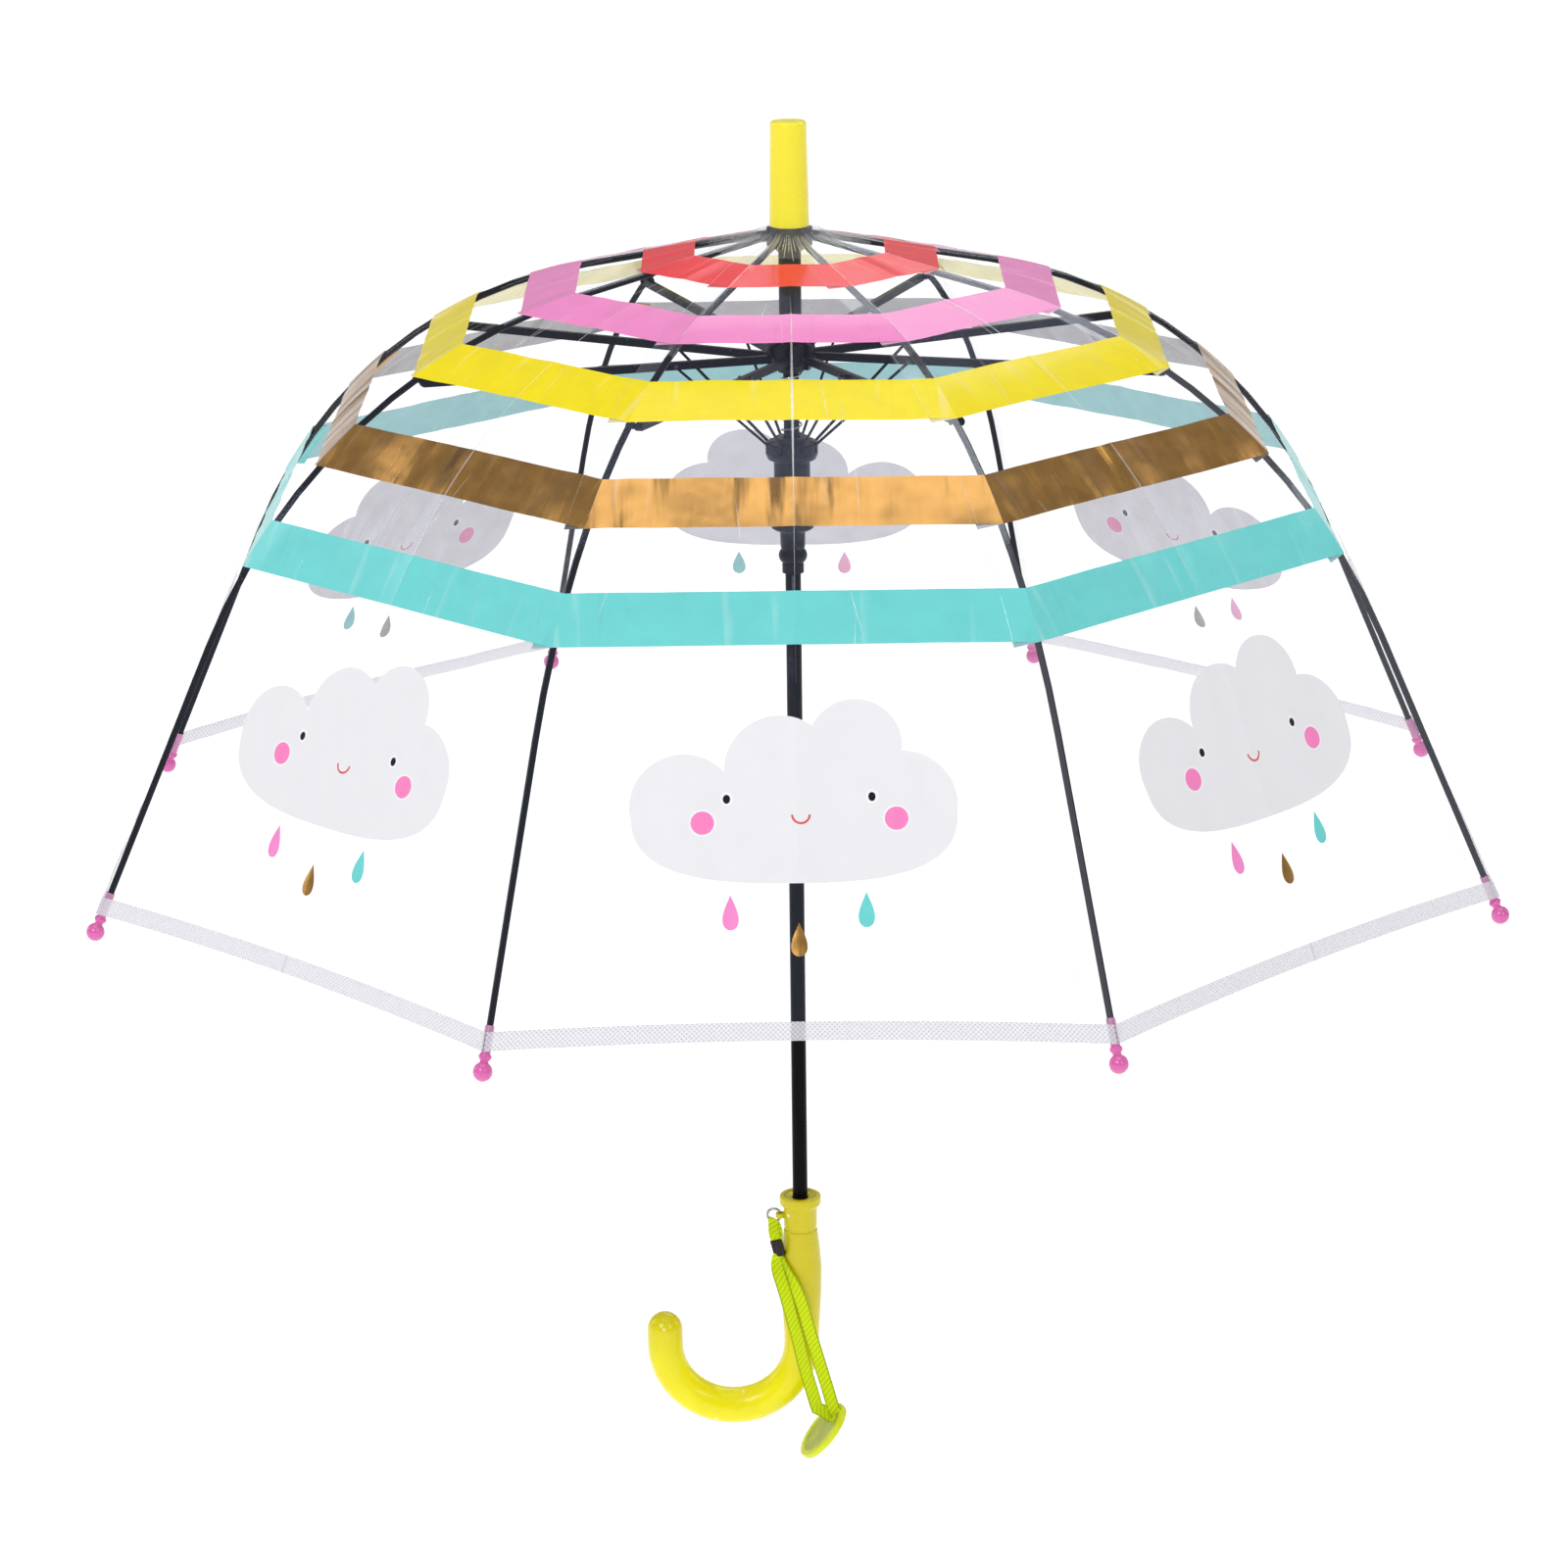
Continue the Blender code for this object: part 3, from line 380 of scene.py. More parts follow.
def metal_material(name, colour, roughness, scuffs_and_glints, metallic):
    """Metal or enamel with lengthwise drawing marks, dull patches and small bright specks, partly scuff
    marks and partly painted glints.
    """
    specular = METAL_SPECULAR if metallic else BLACK_SPECULAR
    metal = Surface(name, Metallic=metallic, Specular_IOR_Level=specular)
    drawn = metal.noise(1400.0, 3.0, stretch=(1.0, 1.0, 0.04))
    speck = metal.noise(1100.0, 2.0, 0.5, stretch=(1.0, 1.0, 0.5))
    body = metal.cover(colour, scaled(colour, 1.8, 0.004), drawn, 0.35, 0.7, 0.6)
    # Small bright specks: partly scuff marks, partly painted glints
    metal.paint(metal.cover(body, (0.35, 0.36, 0.40, 1.0), speck, 0.72, 0.77, scuffs_and_glints))
    metal.dull(metal.noise(60.0, 4.0, 0.6), 0.3, 0.7, roughness * 0.8, roughness * 1.3)
    metal.bump(drawn, 0.10, 0.00008)


def webbing_material():
    """Neon ribbon: slanted ribs, fine cross threads, painted shade along the edges and a fuzzy sheen."""
    ribbon = Surface("neon_ribbon", Roughness=0.75, Sheen_Weight=0.25, Sheen_Roughness=0.4,
                     Sheen_Tint=srgb(235, 255, 90), Specular_IOR_Level=0.25)
    weave = ribbon.plus(ribbon.wave(150.0, 0.5, 1.0, radians(52)), ribbon.wave(900.0, 0.5, 2.0), 0.35)
    across = ribbon.node("SeparateXYZ", "X", {"Vector": ribbon.place("Flat")})
    body = ribbon.cover(srgb(190, 218, 0), srgb(228, 250, 0), weave, 0.10, 1.0)
    # Painted shade: darker along both edges of the ribbon
    body = ribbon.cover(body, srgb(128, 152, 0), ribbon.maths("ABSOLUTE", across), 0.0024, 0.0031, 0.75)
    ribbon.paint(ribbon.cover(body, srgb(240, 255, 70), ribbon.noise(3000.0, 3.0), 0.4, 0.75, 0.25))
    ribbon.bump(weave, 0.8, 0.00030)


def tape_material():
    """Woven translucent hem tape: crossed diagonal threads and a little fuzz."""
    tape = Surface("hem_weave", Roughness=0.7, Alpha=0.56, Sheen_Weight=0.1)
    weave = tape.maths("MAXIMUM", *(tape.wave(210.0, 0.6, 2.0, radians(turn)) for turn in (45, -45)))
    body = tape.cover(srgb(200, 198, 210), srgb(248, 248, 253), weave, 0.35, 0.95)
    tape.paint(tape.cover(body, srgb(230, 228, 238), tape.noise(900.0, 4.0, kind="Flat"), 0.35, 0.7, 0.35))
    tape.bump(weave, 0.6, 0.0003)


def disc_material():
    """Pale translucent plastic disc with a scuffed, cloudy face."""
    disc = Surface("disc_plastic", Coat_Weight=0.2, Subsurface_Weight=0.25, Subsurface_Scale=0.003)
    cloud = disc.noise(160.0, 5.0, 0.7)
    scuff = disc.noise(900.0, 3.0, stretch=(1.0, 0.3, 1.0))
    body = disc.cover(srgb(168, 182, 62), srgb(200, 210, 88), cloud, 0.35, 0.65)
    disc.paint(disc.cover(body, srgb(226, 232, 150), scuff, 0.6, 0.75, 0.3))
    disc.dull(cloud, 0.3, 0.7, 0.32, 0.55)
    disc.bump(cloud, 0.2, 0.0003)


def make_materials():
    """Every material of the object."""
    for name, values in FILMS.items():
        film_material(name, *values)
    for name, (front, back, mottle_and_painted_streaks) in INKS.items():
        ink_material(name, srgb(*front), srgb(*back), mottle_and_painted_streaks)
    ink_material("ink_gold", GOLD, srgb(158, 156, 158), 0.03, metallic=1.0, roughness=0.31, folds=3.2)
    for name, values in METALS.items():
        metal_material(name, *values)
    moulded_material("cap_yellow", srgb(255, 242, 44), 0.26, 0.03, coat=0.35)
    moulded_material("black_plastic", (0.006, 0.0065, 0.011, 1.0), 0.40, 0.4, specular=0.16)
    moulded_material("tip_pink", srgb(224, 104, 178), 0.20, 0.12, coat=0.5, subsurface=0.15)
    moulded_material("tip_sleeve", srgb(232, 160, 205), 0.25, 0.15, coat=0.3, alpha=0.62)
    moulded_material("disc_rim", srgb(226, 238, 40), 0.30, 0.08, coat=0.2, subsurface=0.1)
    grip_material()
    webbing_material()
    tape_material()
    disc_material()


# ------ mesh tools

def mesh_piece(name, bm, mats, smooth_angle=40):
    """Object from a bmesh, with named materials, shaded smooth up to an angle."""
    mesh = bpy.data.meshes.new(name)
    bm.to_mesh(mesh)
    bm.free()
    for mat in mats:
        mesh.materials.append(MATS[mat])
    mesh.shade_smooth()
    if smooth_angle:
        mesh.set_sharp_from_angle(angle=radians(smooth_angle))
    obj = bpy.data.objects.new(name, mesh)
    bpy.context.scene.collection.objects.link(obj)
    return obj


def ride(obj, body, slot, *nodes):
    """Put a piece on its body, and hide the CAD nodes that it stands for."""
    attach(obj, body)
    return label(obj, slot, *nodes)


def label(obj, slot, *nodes):
    """Hide the CAD nodes that a piece stands for."""
    if nodes:
        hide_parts(*nodes)
    return obj


def circle(count):
    """(cosine, sine) at even steps round a circle."""
    angles = [2 * pi * k / count for k in range(count)]
    return [(cos(a), sin(a)) for a in angles]


def coil(turns, steps, start=0.0):
    """(share, cosine, sine) at even steps along a coil."""
    angles = [2 * pi * turns * i / steps + start for i in range(steps + 1)]
    return [(i / steps, cos(a), sin(a)) for i, a in enumerate(angles)]


def flat_mesh():
    """Empty bmesh with a layer for flat coordinates."""
    bm = bmesh.new()
    bm.loops.layers.uv.new("flat")
    return bm


def skin(bm, rows, flats=None, mat=0, sheet=False, closed=False):
    """Quads between rows of points, and their vertices; flats has each point's flat coordinates.

    A row is a ring, unless this is a sheet. The first and last rings are capped, or joined if closed.
    """
    verts = [[bm.verts.new(point) for point in row] for row in rows]
    layer = bm.loops.layers.uv.get("flat")
    height, width = len(rows), len(rows[0])
    faces = []
    for i in range(height if closed else height - 1):
        for k in range(width - 1 if sheet else width):
            j, n = (i + 1) % height, (k + 1) % width
            corners = ((i, k), (j, k), (j, n), (i, n))
            face = bm.faces.new([verts[row][column] for row, column in corners])
            for loop, (row, column) in zip(face.loops, corners if flats else ()):
                loop[layer].uv = flats[row][column]
            faces.append(face)
    if not closed and not sheet:
        faces += [bm.faces.new(verts[0]), bm.faces.new(verts[-1][::-1])]
    for face in faces:
        face.material_index = mat
    if not sheet:
        bmesh.ops.recalc_face_normals(bm, faces=faces)
    return verts


def rounded(corners, steps, closed=False):
    """Outline through (x, y, fillet) corners with round fillets."""
    points = [(Vector(c[:2]), c[2] if len(c) > 2 else 0.0) for c in corners]
    count = len(points)
    result = []
    for i, (corner, radius) in enumerate(points):
        if radius <= 0 or (not closed and i in (0, count - 1)):
            result.append(tuple(corner))
            continue
        before = points[i - 1][0] - corner
        after = points[(i + 1) % count][0] - corner
        turn = before.angle(after)
        reach = min(radius / tan(turn / 2), before.length * 0.49, after.length * 0.49)
        start = corner + before.normalized() * reach
        end = corner + after.normalized() * reach
        for k in range(steps + 1):
            t = k / steps
            result.append(tuple(start * (1 - t) ** 2 + corner * (2 * t * (1 - t)) + end * t * t))
    return result


def rounded_box(wide, high, fillet, steps):
    """Outline of a rectangle about the origin, by its half sizes, with round corners."""
    corners = ((-wide, -high), (wide, -high), (wide, high), (-wide, high))
    return rounded([(*corner, fillet) for corner in corners], steps, closed=True)


def scaled_rings(outline, levels):
    """One outline at each (scale, height)."""
    return [[(x * scale, y * scale, height) for x, y in outline] for scale, height in levels]


def lathe(bm, profile, sides, closed=False, mat=0):
    """Turn (radius, height) points about Z."""
    turn = circle(sides)
    rings = [[(radius * c, radius * s, height) for c, s in turn] for radius, height in profile]
    skin(bm, rings, closed=closed, mat=mat)


def carried_frames(path, first_side):
    """(point, along, side) down a path, with the side carried along without twist."""
    frames = []
    side = Vector(first_side)
    last = len(path) - 1
    for i, point in enumerate(path):
        along = (path[min(i + 1, last)] - path[max(i - 1, 0)]).normalized()
        side = (side - along * side.dot(along)).normalized()
        frames.append((point, along, side))
    return frames


def tube_ring(centre, along, side, radius, sides):
    """Ring of points round a centre, square to the way along."""
    other = along.cross(side)
    return [centre + (side * c + other * s) * radius for c, s in circle(sides)]


def tube(bm, path, radius, sides, first_side=(0, 1, 0)):
    """Round tube down a path."""
    skin(bm, [tube_ring(*place, radius, sides) for place in carried_frames(path, first_side)])


def move_new(bm, start, matrix):
    """Move the vertices made since there were start of them."""
    bm.verts.ensure_lookup_table()
    bmesh.ops.transform(bm, matrix=matrix, verts=bm.verts[start:])


def smooth_route(points, per_span):
    """Points on a Catmull-Rom curve through a route."""
    route = [Vector(point) for point in points]
    padded = [2 * route[0] - route[1]] + route + [2 * route[-1] - route[-2]]
    result = []
    for before, start, end, after in zip(padded, padded[1:], padded[2:], padded[3:]):
        handles = (start + (end - before) / 6, end - (after - start) / 6)
        result += interpolate_bezier(start, *handles, end, per_span + 1)[:-1]
    return result + [route[-1]]


def smooth_step(value):
    """0 to 1 with flat ends."""
    t = min(1.0, max(0.0, value))
    return t * t * (3 - 2 * t)


def span(start, end, cell):
    """Evenly spaced numbers from start to end, about a cell apart."""
    count = max(1, round(abs(end - start) / cell))
    return [start + (end - start) * k / count for k in range(count + 1)]


# ------ the dome's surface

def rib_point(run, lift=0.0):
    """Radius, height and slope of the ribs, at a run from their pivots and a lift off their middle line."""
    top = min(run, RIB_TOP_RUN)
    bent = min(max(run - RIB_TOP_RUN, 0.0), RIB_BEND_RUN)
    side = max(run - RIB_TOP_RUN - RIB_BEND_RUN, 0.0)
    slope = RIB_TOP_SLOPE + bent / RIB_BEND_RADIUS
    radius = (PIVOT_RADIUS + top * cos(RIB_TOP_SLOPE) + RIB_BEND_RADIUS * (sin(slope) - sin(RIB_TOP_SLOPE))
              + side * cos(slope) + lift * sin(slope))
    height = (PIVOT_Z - top * sin(RIB_TOP_SLOPE) + RIB_BEND_RADIUS * (cos(slope) - cos(RIB_TOP_SLOPE))
              - side * sin(slope) + lift * cos(slope))
    return radius, height, slope


def on_rib(run, lift=0.0):
    """Place of a point on a rib drawn along +X."""
    radius, height, _ = rib_point(run, lift)
    return Vector((radius, 0, height))


def half_width(run):
    """Half the film's width at a run."""
    return rib_point(run, FILM_LIFT)[0] * sin(HALF_STEP)


def rib_turn(number):
    """Turn from a part drawn along +X to its rib."""
    return Matrix.Rotation(FIRST_RIB_ANGLE + (number - 1) * RIB_STEP, 4, "Z")


def gore_turn(number):
    """Turn from a gore drawn about +X to its place; gore 1 lies between ribs 1 and 2."""
    return rib_turn(number + 0.5)


def wrinkle(number, run, across):
    """How far the film stands off its tight surface, in metres; nothing at the ribs."""
    width = half_width(run)
    edge = max(0.0, width - abs(across))
    seed = 13.7 * number
    parts = [noise.noise(Vector((across * wide + run * aslant, run * long, seed + shift)))
             for wide, aslant, long, shift, _ in WRINKLES]
    lift = sum(part * height for part, (*_, height) in zip(parts, WRINKLES))
    side = copysign(1.0, across)
    drawn = sin((run * 210 - edge * 150 * side) * (1 + 0.2 * parts[0])) * exp(-edge / 0.022)
    gate = max(0.0, noise.noise(Vector((run * 24, side * 3, seed + 2))) + 0.15)
    waves = sin(across / max(width, MM) * 9 + seed) * smooth_step((0.075 - run) / 0.05)
    lift += DRAWN_HEIGHT * drawn * gate + WAVE_HEIGHT * waves
    if lift < 0:
        lift *= smooth_step((abs(across) - 0.004) / 0.05)
    ridge = max(0.0, 1 - abs(across) / RIDGE_HALF) * smooth_step((run - 0.03) / 0.03)
    return MM * (smooth_step(edge / EDGE_FADE) * lift + RIDGE_HEIGHT * ridge)


def film_place(number, run, across, lift=0.0):
    """Place in the world of a point of the flat film, at a lift above its own surface."""
    width = half_width(run)
    share = min(1.0, abs(across) / width) if width else 0.0
    arch = HEM_ARCH * smooth_step((run - HEM_ARCH_START) / (HEM_END - HEM_ARCH_START)) * (1 - share * share)
    radius, height, slope = rib_point(run - arch, FILM_LIFT)
    out = Vector((sin(slope), 0, cos(HALF_STEP) * cos(slope))).normalized()
    aside = copysign(share, across)
    point = Vector((radius * cos(HALF_STEP), aside * radius * sin(HALF_STEP), height))
    if run < COLLAR_RUN:
        collar = min(1.0, (COLLAR_RUN - run) / (COLLAR_RUN - COLLAR_TOP_RUN))
        low_radius = rib_point(COLLAR_RUN)[0]
        low_height = rib_point(COLLAR_RUN, FILM_LIFT)[1]
        angle = aside * HALF_STEP
        bulge = collar + (1 - collar) * cos(HALF_STEP) / cos(angle)
        reach = (low_radius + (COLLAR_TOP_RADIUS - low_radius) * collar) * bulge
        height = low_height + (COLLAR_TOP_Z - low_height) * collar
        point = Vector((reach * cos(angle), reach * sin(angle), height))
    return gore_turn(number) @ (point + out * (lift + wrinkle(number, run, across)))


def blend_film(obj, number, side, slot, *nodes):
    """Bake half a gore's place into its mesh, and hide the CAD nodes that it stands for."""
    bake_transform(obj)
    label(obj, slot, *nodes)


# ------ flat drawing of a gore

def ellipse(centre, size, count):
    """Closed outline of an ellipse, by its half sizes."""
    return [(centre[0] + size[0] * c, centre[1] + size[1] * s) for c, s in circle(count)]


def cloud_base():
    """Closed outline of the cloud's rounded base."""
    across, run, wide, long = CLOUD_BASE
    outline = []
    for c, s in circle(64):
        x, y = (copysign(abs(value) ** (2 / CLOUD_BASE_POWER), value) for value in (c, s))
        outline.append((across + wide * x, run + long * max(y, -0.02)))
    return outline


def drop_outline(across, top):
    """Closed teardrop outline with its point up the rib."""
    outline = []
    for k in range(24):
        a = 2 * pi * k / 24
        wide = DROP_RADIUS * sin(a) * sin(a / 2) ** 1.4
        outline.append((across + wide, top + DROP_LENGTH * (1 - cos(a)) / 2))
    return outline


def smile_outline():
    """Closed outline of a thin U."""
    outer, inner = ([(SMILE[0] + radius * c, SMILE[1] + radius * s) for c, s in circle(24)[:13]]
                    for radius in SMILE_RADII)
    return outer + inner[::-1]


def printed_shapes():
    """(print, closed outline) of everything under the bands, each one over those before it."""
    shapes = [("ink_cloud", ellipse(lobe[:2], (lobe[2], lobe[2]), 56)) for lobe in CLOUD_LOBES]
    shapes.append(("ink_cloud", cloud_base()))
    for name, size, steps, centres in OVALS:
        shapes += [(name, ellipse(centre, size, steps)) for centre in centres]
    shapes.append(("ink_coral", smile_outline()))
    shapes += [(name, drop_outline(across, top)) for name, across, top in DROPS]
    return shapes


def inside(point, outline):
    """True inside a closed outline."""
    x, y = point
    odd = False
    for (x1, y1), (x2, y2) in zip(outline, outline[1:] + outline[:1]):
        if (y1 > y) != (y2 > y) and x < (x2 - x1) * (y - y1) / (y2 - y1) + x1:
            odd = not odd
    return odd


def print_at(point, shapes):
    """Material name of the film at a flat point."""
    # Near the notch: partly the gathered film's haze, partly painted glare
    if point[1] < GATHER_END:
        return "film_gather_glare"
    for name, start, end in STRIPES:
        if start < point[1] < end:
            return name
    for name, outline in reversed(shapes):
        if inside(point, outline):
            return name
    return "film_clear"


def flat_gore():
    """Flat gore whose mesh edges follow every printed edge: its points, and (triangle, print) pairs."""
    points = []
    edges = []

    def line(outline, closed=False):
        first = len(points)
        points.extend(outline)
        last = len(points) - 1
        edges.extend((k, k + 1) for k in range(first, last))
        if closed:
            edges.append((last, first))

    runs = span(COLLAR_TOP_RUN, FILM_END, FILM_CELL)
    for side in (-1, 0, 1):
        line([(side * half_width(run), run) for run in runs])
    borders = [border for _, *ends in STRIPES for border in ends]
    for run in (COLLAR_TOP_RUN, GATHER_END, FILM_END, *borders):
        width = half_width(run)
        line([(across, run) for across in span(-width, 0, FILM_CELL) + span(0, width, FILM_CELL)[1:]])
    shapes = printed_shapes()
    for _, outline in shapes:
        line(outline, True)

    fixed = np.array(points)
    for row, run in enumerate(span(COLLAR_TOP_RUN + FILM_CELL, FILM_END - FILM_CELL, ROW_STEP)):
        width = half_width(run) - FILM_CELL * 0.5
        across = FILM_CELL * (0.5 if row % 2 else 1.0)
        while across < width:
            for point in ((across, run), (-across, run)):
                if np.abs(fixed - point).sum(1).min() > POINT_GAP:
                    points.append(point)
            across += FILM_CELL
    made, _, faces, *_ = delaunay_2d_cdt([Vector(p) for p in points], edges, [], 0, 1e-7, False)
    triangles = []
    for face in faces:
        corners = [made[i] for i in face]
        centre = sum(corners, Vector((0, 0))) / 3
        twice = (corners[1] - corners[0]).cross(corners[2] - corners[0])
        if abs(twice) > SLIVER and abs(centre.x) < half_width(centre.y):
            triangles.append((face if twice < 0 else face[::-1], print_at(centre, shapes)))
    return [tuple(point) for point in made], triangles


def half_triangles(drawing, side):
    """The (corners, print) pairs at one side of the middle line, with corners as (index, flat point)."""
    points, triangles = drawing
    for triangle, name in triangles:
        corners = [(i, points[i]) for i in triangle]
        if (sum(point[0] for _, point in corners) > 0) == (side > 0):
            yield corners, name


def flat_area(drawing, side):
    """Flat area of half a gore, in square metres."""
    area = 0.0
    for ((_, (x1, y1)), (_, (x2, y2)), (_, (x3, y3))), _ in half_triangles(drawing, side):
        area += abs((x2 - x1) * (y3 - y1) - (x3 - x1) * (y2 - y1)) / 2
    return area


# ------ film pieces

def film_half(number, side, drawing):
    """One half of a gore as a bent sheet with its prints."""
    bm = flat_mesh()
    flat = bm.loops.layers.uv["flat"]
    verts = {}
    prints = []
    for corners, name in half_triangles(drawing, side):
        for i, (across, run) in corners:
            if i not in verts:
                verts[i] = bm.verts.new(film_place(number, run, across))
        face = bm.faces.new([verts[i] for i, _ in corners])
        if name not in prints:
            prints.append(name)
        face.material_index = prints.index(name)
        for loop, (_, point) in zip(face.loops, corners):
            loop[flat].uv = point
    return mesh_piece(f"film_{SIDES[side]}_{number}", bm, prints, None)


def strip(bm, number, rows, mat, ply=0.0):
    """Sheet between rows of (across, run, lift) points of one gore's film."""
    layer = bm.verts.layers.float.get("ply") or bm.verts.layers.float.new("ply")
    points = [[film_place(number, run, across, lift) for across, run, lift in row] for row in rows]
    flats = [[(across, run) for across, run, _ in row] for row in rows]
    for row in skin(bm, points, flats, mat, sheet=True):
        for vert in row:
            vert[layer] = ply


def thin_line(bm, number, route, thick, mat, lift=LINE_LIFT):
    """Narrow raised line on the film through (across, run) points; thick says how wide at each."""
    strip(bm, number, [[(across + wide * t, run, lift * (1 - abs(t) / 2)) for t in (-1, 0, 1)]
                       for (across, run), wide in zip(route, thick)], mat)


def pick(limits, *place):
    """A number between two limits that is always the same at the same place."""
    low, high = limits
    return low + (high - low) * abs(noise.cell(Vector(place)))


def glare_line(bm, number, side, start, end, share, lean, mat, widths, cell):
    """One thin raised line from run start to run end, at a share of the gore's half width."""
    runs = span(start, end, cell)
    route = [(side * half_width(run) * (share + lean * (run - start) / (end - start)), run) for run in runs]
    least, extra = widths
    thick = [least + extra * sin(pi * i / (len(runs) - 1)) for i in range(len(runs))]
    thin_line(bm, number, route, thick, mat)


def glare_lines(bm, number, side, mat):
    """Painted glare lines: fine ones at the gathered film running out from the notch, and a few at scuff
    marks lower down.
    """
    # Painted glare lines along the gathered film near the notch
    for k in range(PLEAT_GLINTS):
        start = pick(PLEAT_GLINT_STARTS, k, number, side + 4)
        end = pick(PLEAT_GLINT_ENDS, k, number, side + 8)
        share = (k + pick(PLEAT_GLINT_SHARES, k * 3.3, number * 5.1, side)) / PLEAT_GLINTS
        lean = pick(PLEAT_GLINT_LEANS, k, number, side + 12)
        glare_line(bm, number, side, start, end, share, lean, mat, PLEAT_GLINT_WIDTHS, 0.004)
    # Painted glare lines at scuff marks lower down
    for k in range(SCUFF_GLINTS):
        start, length, share, lean = (pick(limits, k * 7.7, number * 2.3, side * 3 + i * 11)
                                      for i, limits in enumerate(SCUFF_GLINT_LIMITS))
        glare_line(bm, number, side, start, start + length, share, lean, mat, SCUFF_GLINT_WIDTHS, 0.005)


def flap_width(run):
    """Width of the seam allowance at a run, narrower near the notch."""
    return min(FLAP_WIDTH, 0.55 * half_width(run))


def seam_strips(number):
    """Seam allowance, weld line and painted glare lines on the gathered film of a gore's right half, and a
    painted highlight line along the crease down its middle.
    """
    bm = flat_mesh()
    order = ["film_seam", "film_glare_line"] + [name for name, _, _ in STRIPES]
    parts = []
    low = COLLAR_RUN + 0.004
    for name, start, end in STRIPES:
        parts += [("film_seam", low, start), (name, start, end)]
        low = end
    parts.append(("film_seam", low, FILM_END - FLAP_DROP))
    for name, low, high in parts:
        rows = []
        for run in span(low, high, FILM_CELL):
            drop = FLAP_DROP * smooth_step((run - 0.02) / 0.02)
            rows.append([(half_width(run) - flap_width(run) * t, run + drop * t, FLAP_LIFT * t)
                         for t in (0.0, 0.5, 1.0)])
        strip(bm, number, rows, order.index(name), ply=1.0)
    runs = span(COLLAR_RUN + 0.006, FILM_END - FLAP_DROP, FILM_CELL)
    weld = [(half_width(run) - flap_width(run), run) for run in runs]
    thin_line(bm, number, weld, [WELD_WIDTH] * len(runs), 0, lift=WELD_LIFT)
    # Painted highlight: a whitish line along the crease, broken up and fading at its ends
    runs = span(CREASE_GLINT_START, CREASE_GLINT_END, FILM_CELL)
    thick = []
    for run in runs:
        broken = max(0.0, noise.noise(Vector((run * 21, number * 3.1, 0.5))) + 0.25)
        fade = smooth_step((run - CREASE_GLINT_START) / 0.03) * smooth_step((CREASE_GLINT_END - run) / 0.06)
        thick.append((CREASE_GLINT_WIDTHS[0] + CREASE_GLINT_WIDTHS[1] * broken) * max(0.05, fade))
    thin_line(bm, number, [(0.0, run) for run in runs], thick, 1, lift=CREASE_GLINT_LIFT)
    glare_lines(bm, number, 1, 1)
    return mesh_piece(f"seam_strips_{number}", bm, order, None)


def left_gather_glints(number):
    """The painted glare lines at the gathered film of a gore's left half."""
    bm = flat_mesh()
    glare_lines(bm, number, -1, 0)
    return mesh_piece(f"gather_glints_{number}", bm, ["film_glare_line"], None)


def hem_half(number, side):
    """Half of the folded hem tape: a thin closed band round the film's edge."""
    bm = flat_mesh()
    outline = rounded([(HEM_START, 0.0003, 0.0002), (HEM_END, 0.0003, 0.0003), (HEM_END, 0.0010, 0.0003),
                       (HEM_START, 0.0010, 0.0002)], 2, closed=True)
    width = half_width((HEM_START + HEM_END) / 2)
    shares = [side * share for share in span(0.0, 1.0, HEM_CELL)]
    points = [[film_place(number, run, share * half_width(run), lift) for run, lift in outline]
              for share in shares]
    skin(bm, points, [[(share * width, run) for run, _ in outline] for share in shares])
    return mesh_piece(f"hem_{SIDES[side]}_{number}", bm, ["hem_weave"])


def rib_seam(number):
    """The welded film ridge over a rib, a thin half tube along it."""
    bm = flat_mesh()
    turn = rib_turn(number)
    angles = [radians(side) for side in (-68, -45, -22, 0, 22, 45, 68)]
    points = []
    flats = []
    for run in span(RIB_SEAM_START, RIB_SEAM_END, RIB_SEAM_CELL):
        middle = on_rib(run)
        slope = rib_point(run)[2]
        out = Vector((sin(slope), 0, cos(slope)))
        reach = (FILM_LIFT + LINE_LIFT) * (1 + 0.10 * noise.noise(Vector((run * 90, number * 7.0, 0))))
        points.append([turn @ (middle + (out * cos(a) + Vector((0, sin(a), 0))) * reach) for a in angles])
        flats.append([(a * 0.002, run) for a in angles])
    skin(bm, points, flats, sheet=True)
    return mesh_piece(f"rib_seam_{number}", bm, ["film_seam"], None)


def make_canopy():
    """Eight gores as sixteen half sheets, with hems, seams and creases, and painted glare lines on the
    creases and gathered film.
    """
    drawing = flat_gore()
    for number in NUMBERS:
        seams = seam_strips(number)
        gather_glints = left_gather_glints(number)
        blend_film(seams, number, 1, "clear_film")
        blend_film(gather_glints, number, -1, "clear_film")
        ridge = ride(rib_seam(number), f"rib_{number}", "clear_film")
        for side, beside in ((-1, [gather_glints, ridge]), (1, [seams])):
            film = film_half(number, side, drawing)
            hem = hem_half(number, side)
            blend_film(film, number, side, "clear_film", f"gore_{number}")
            blend_film(hem, number, side, "hem_tape", f"hem_tape_{number}")
            flat_area(drawing, side)


# ------ cap and handle

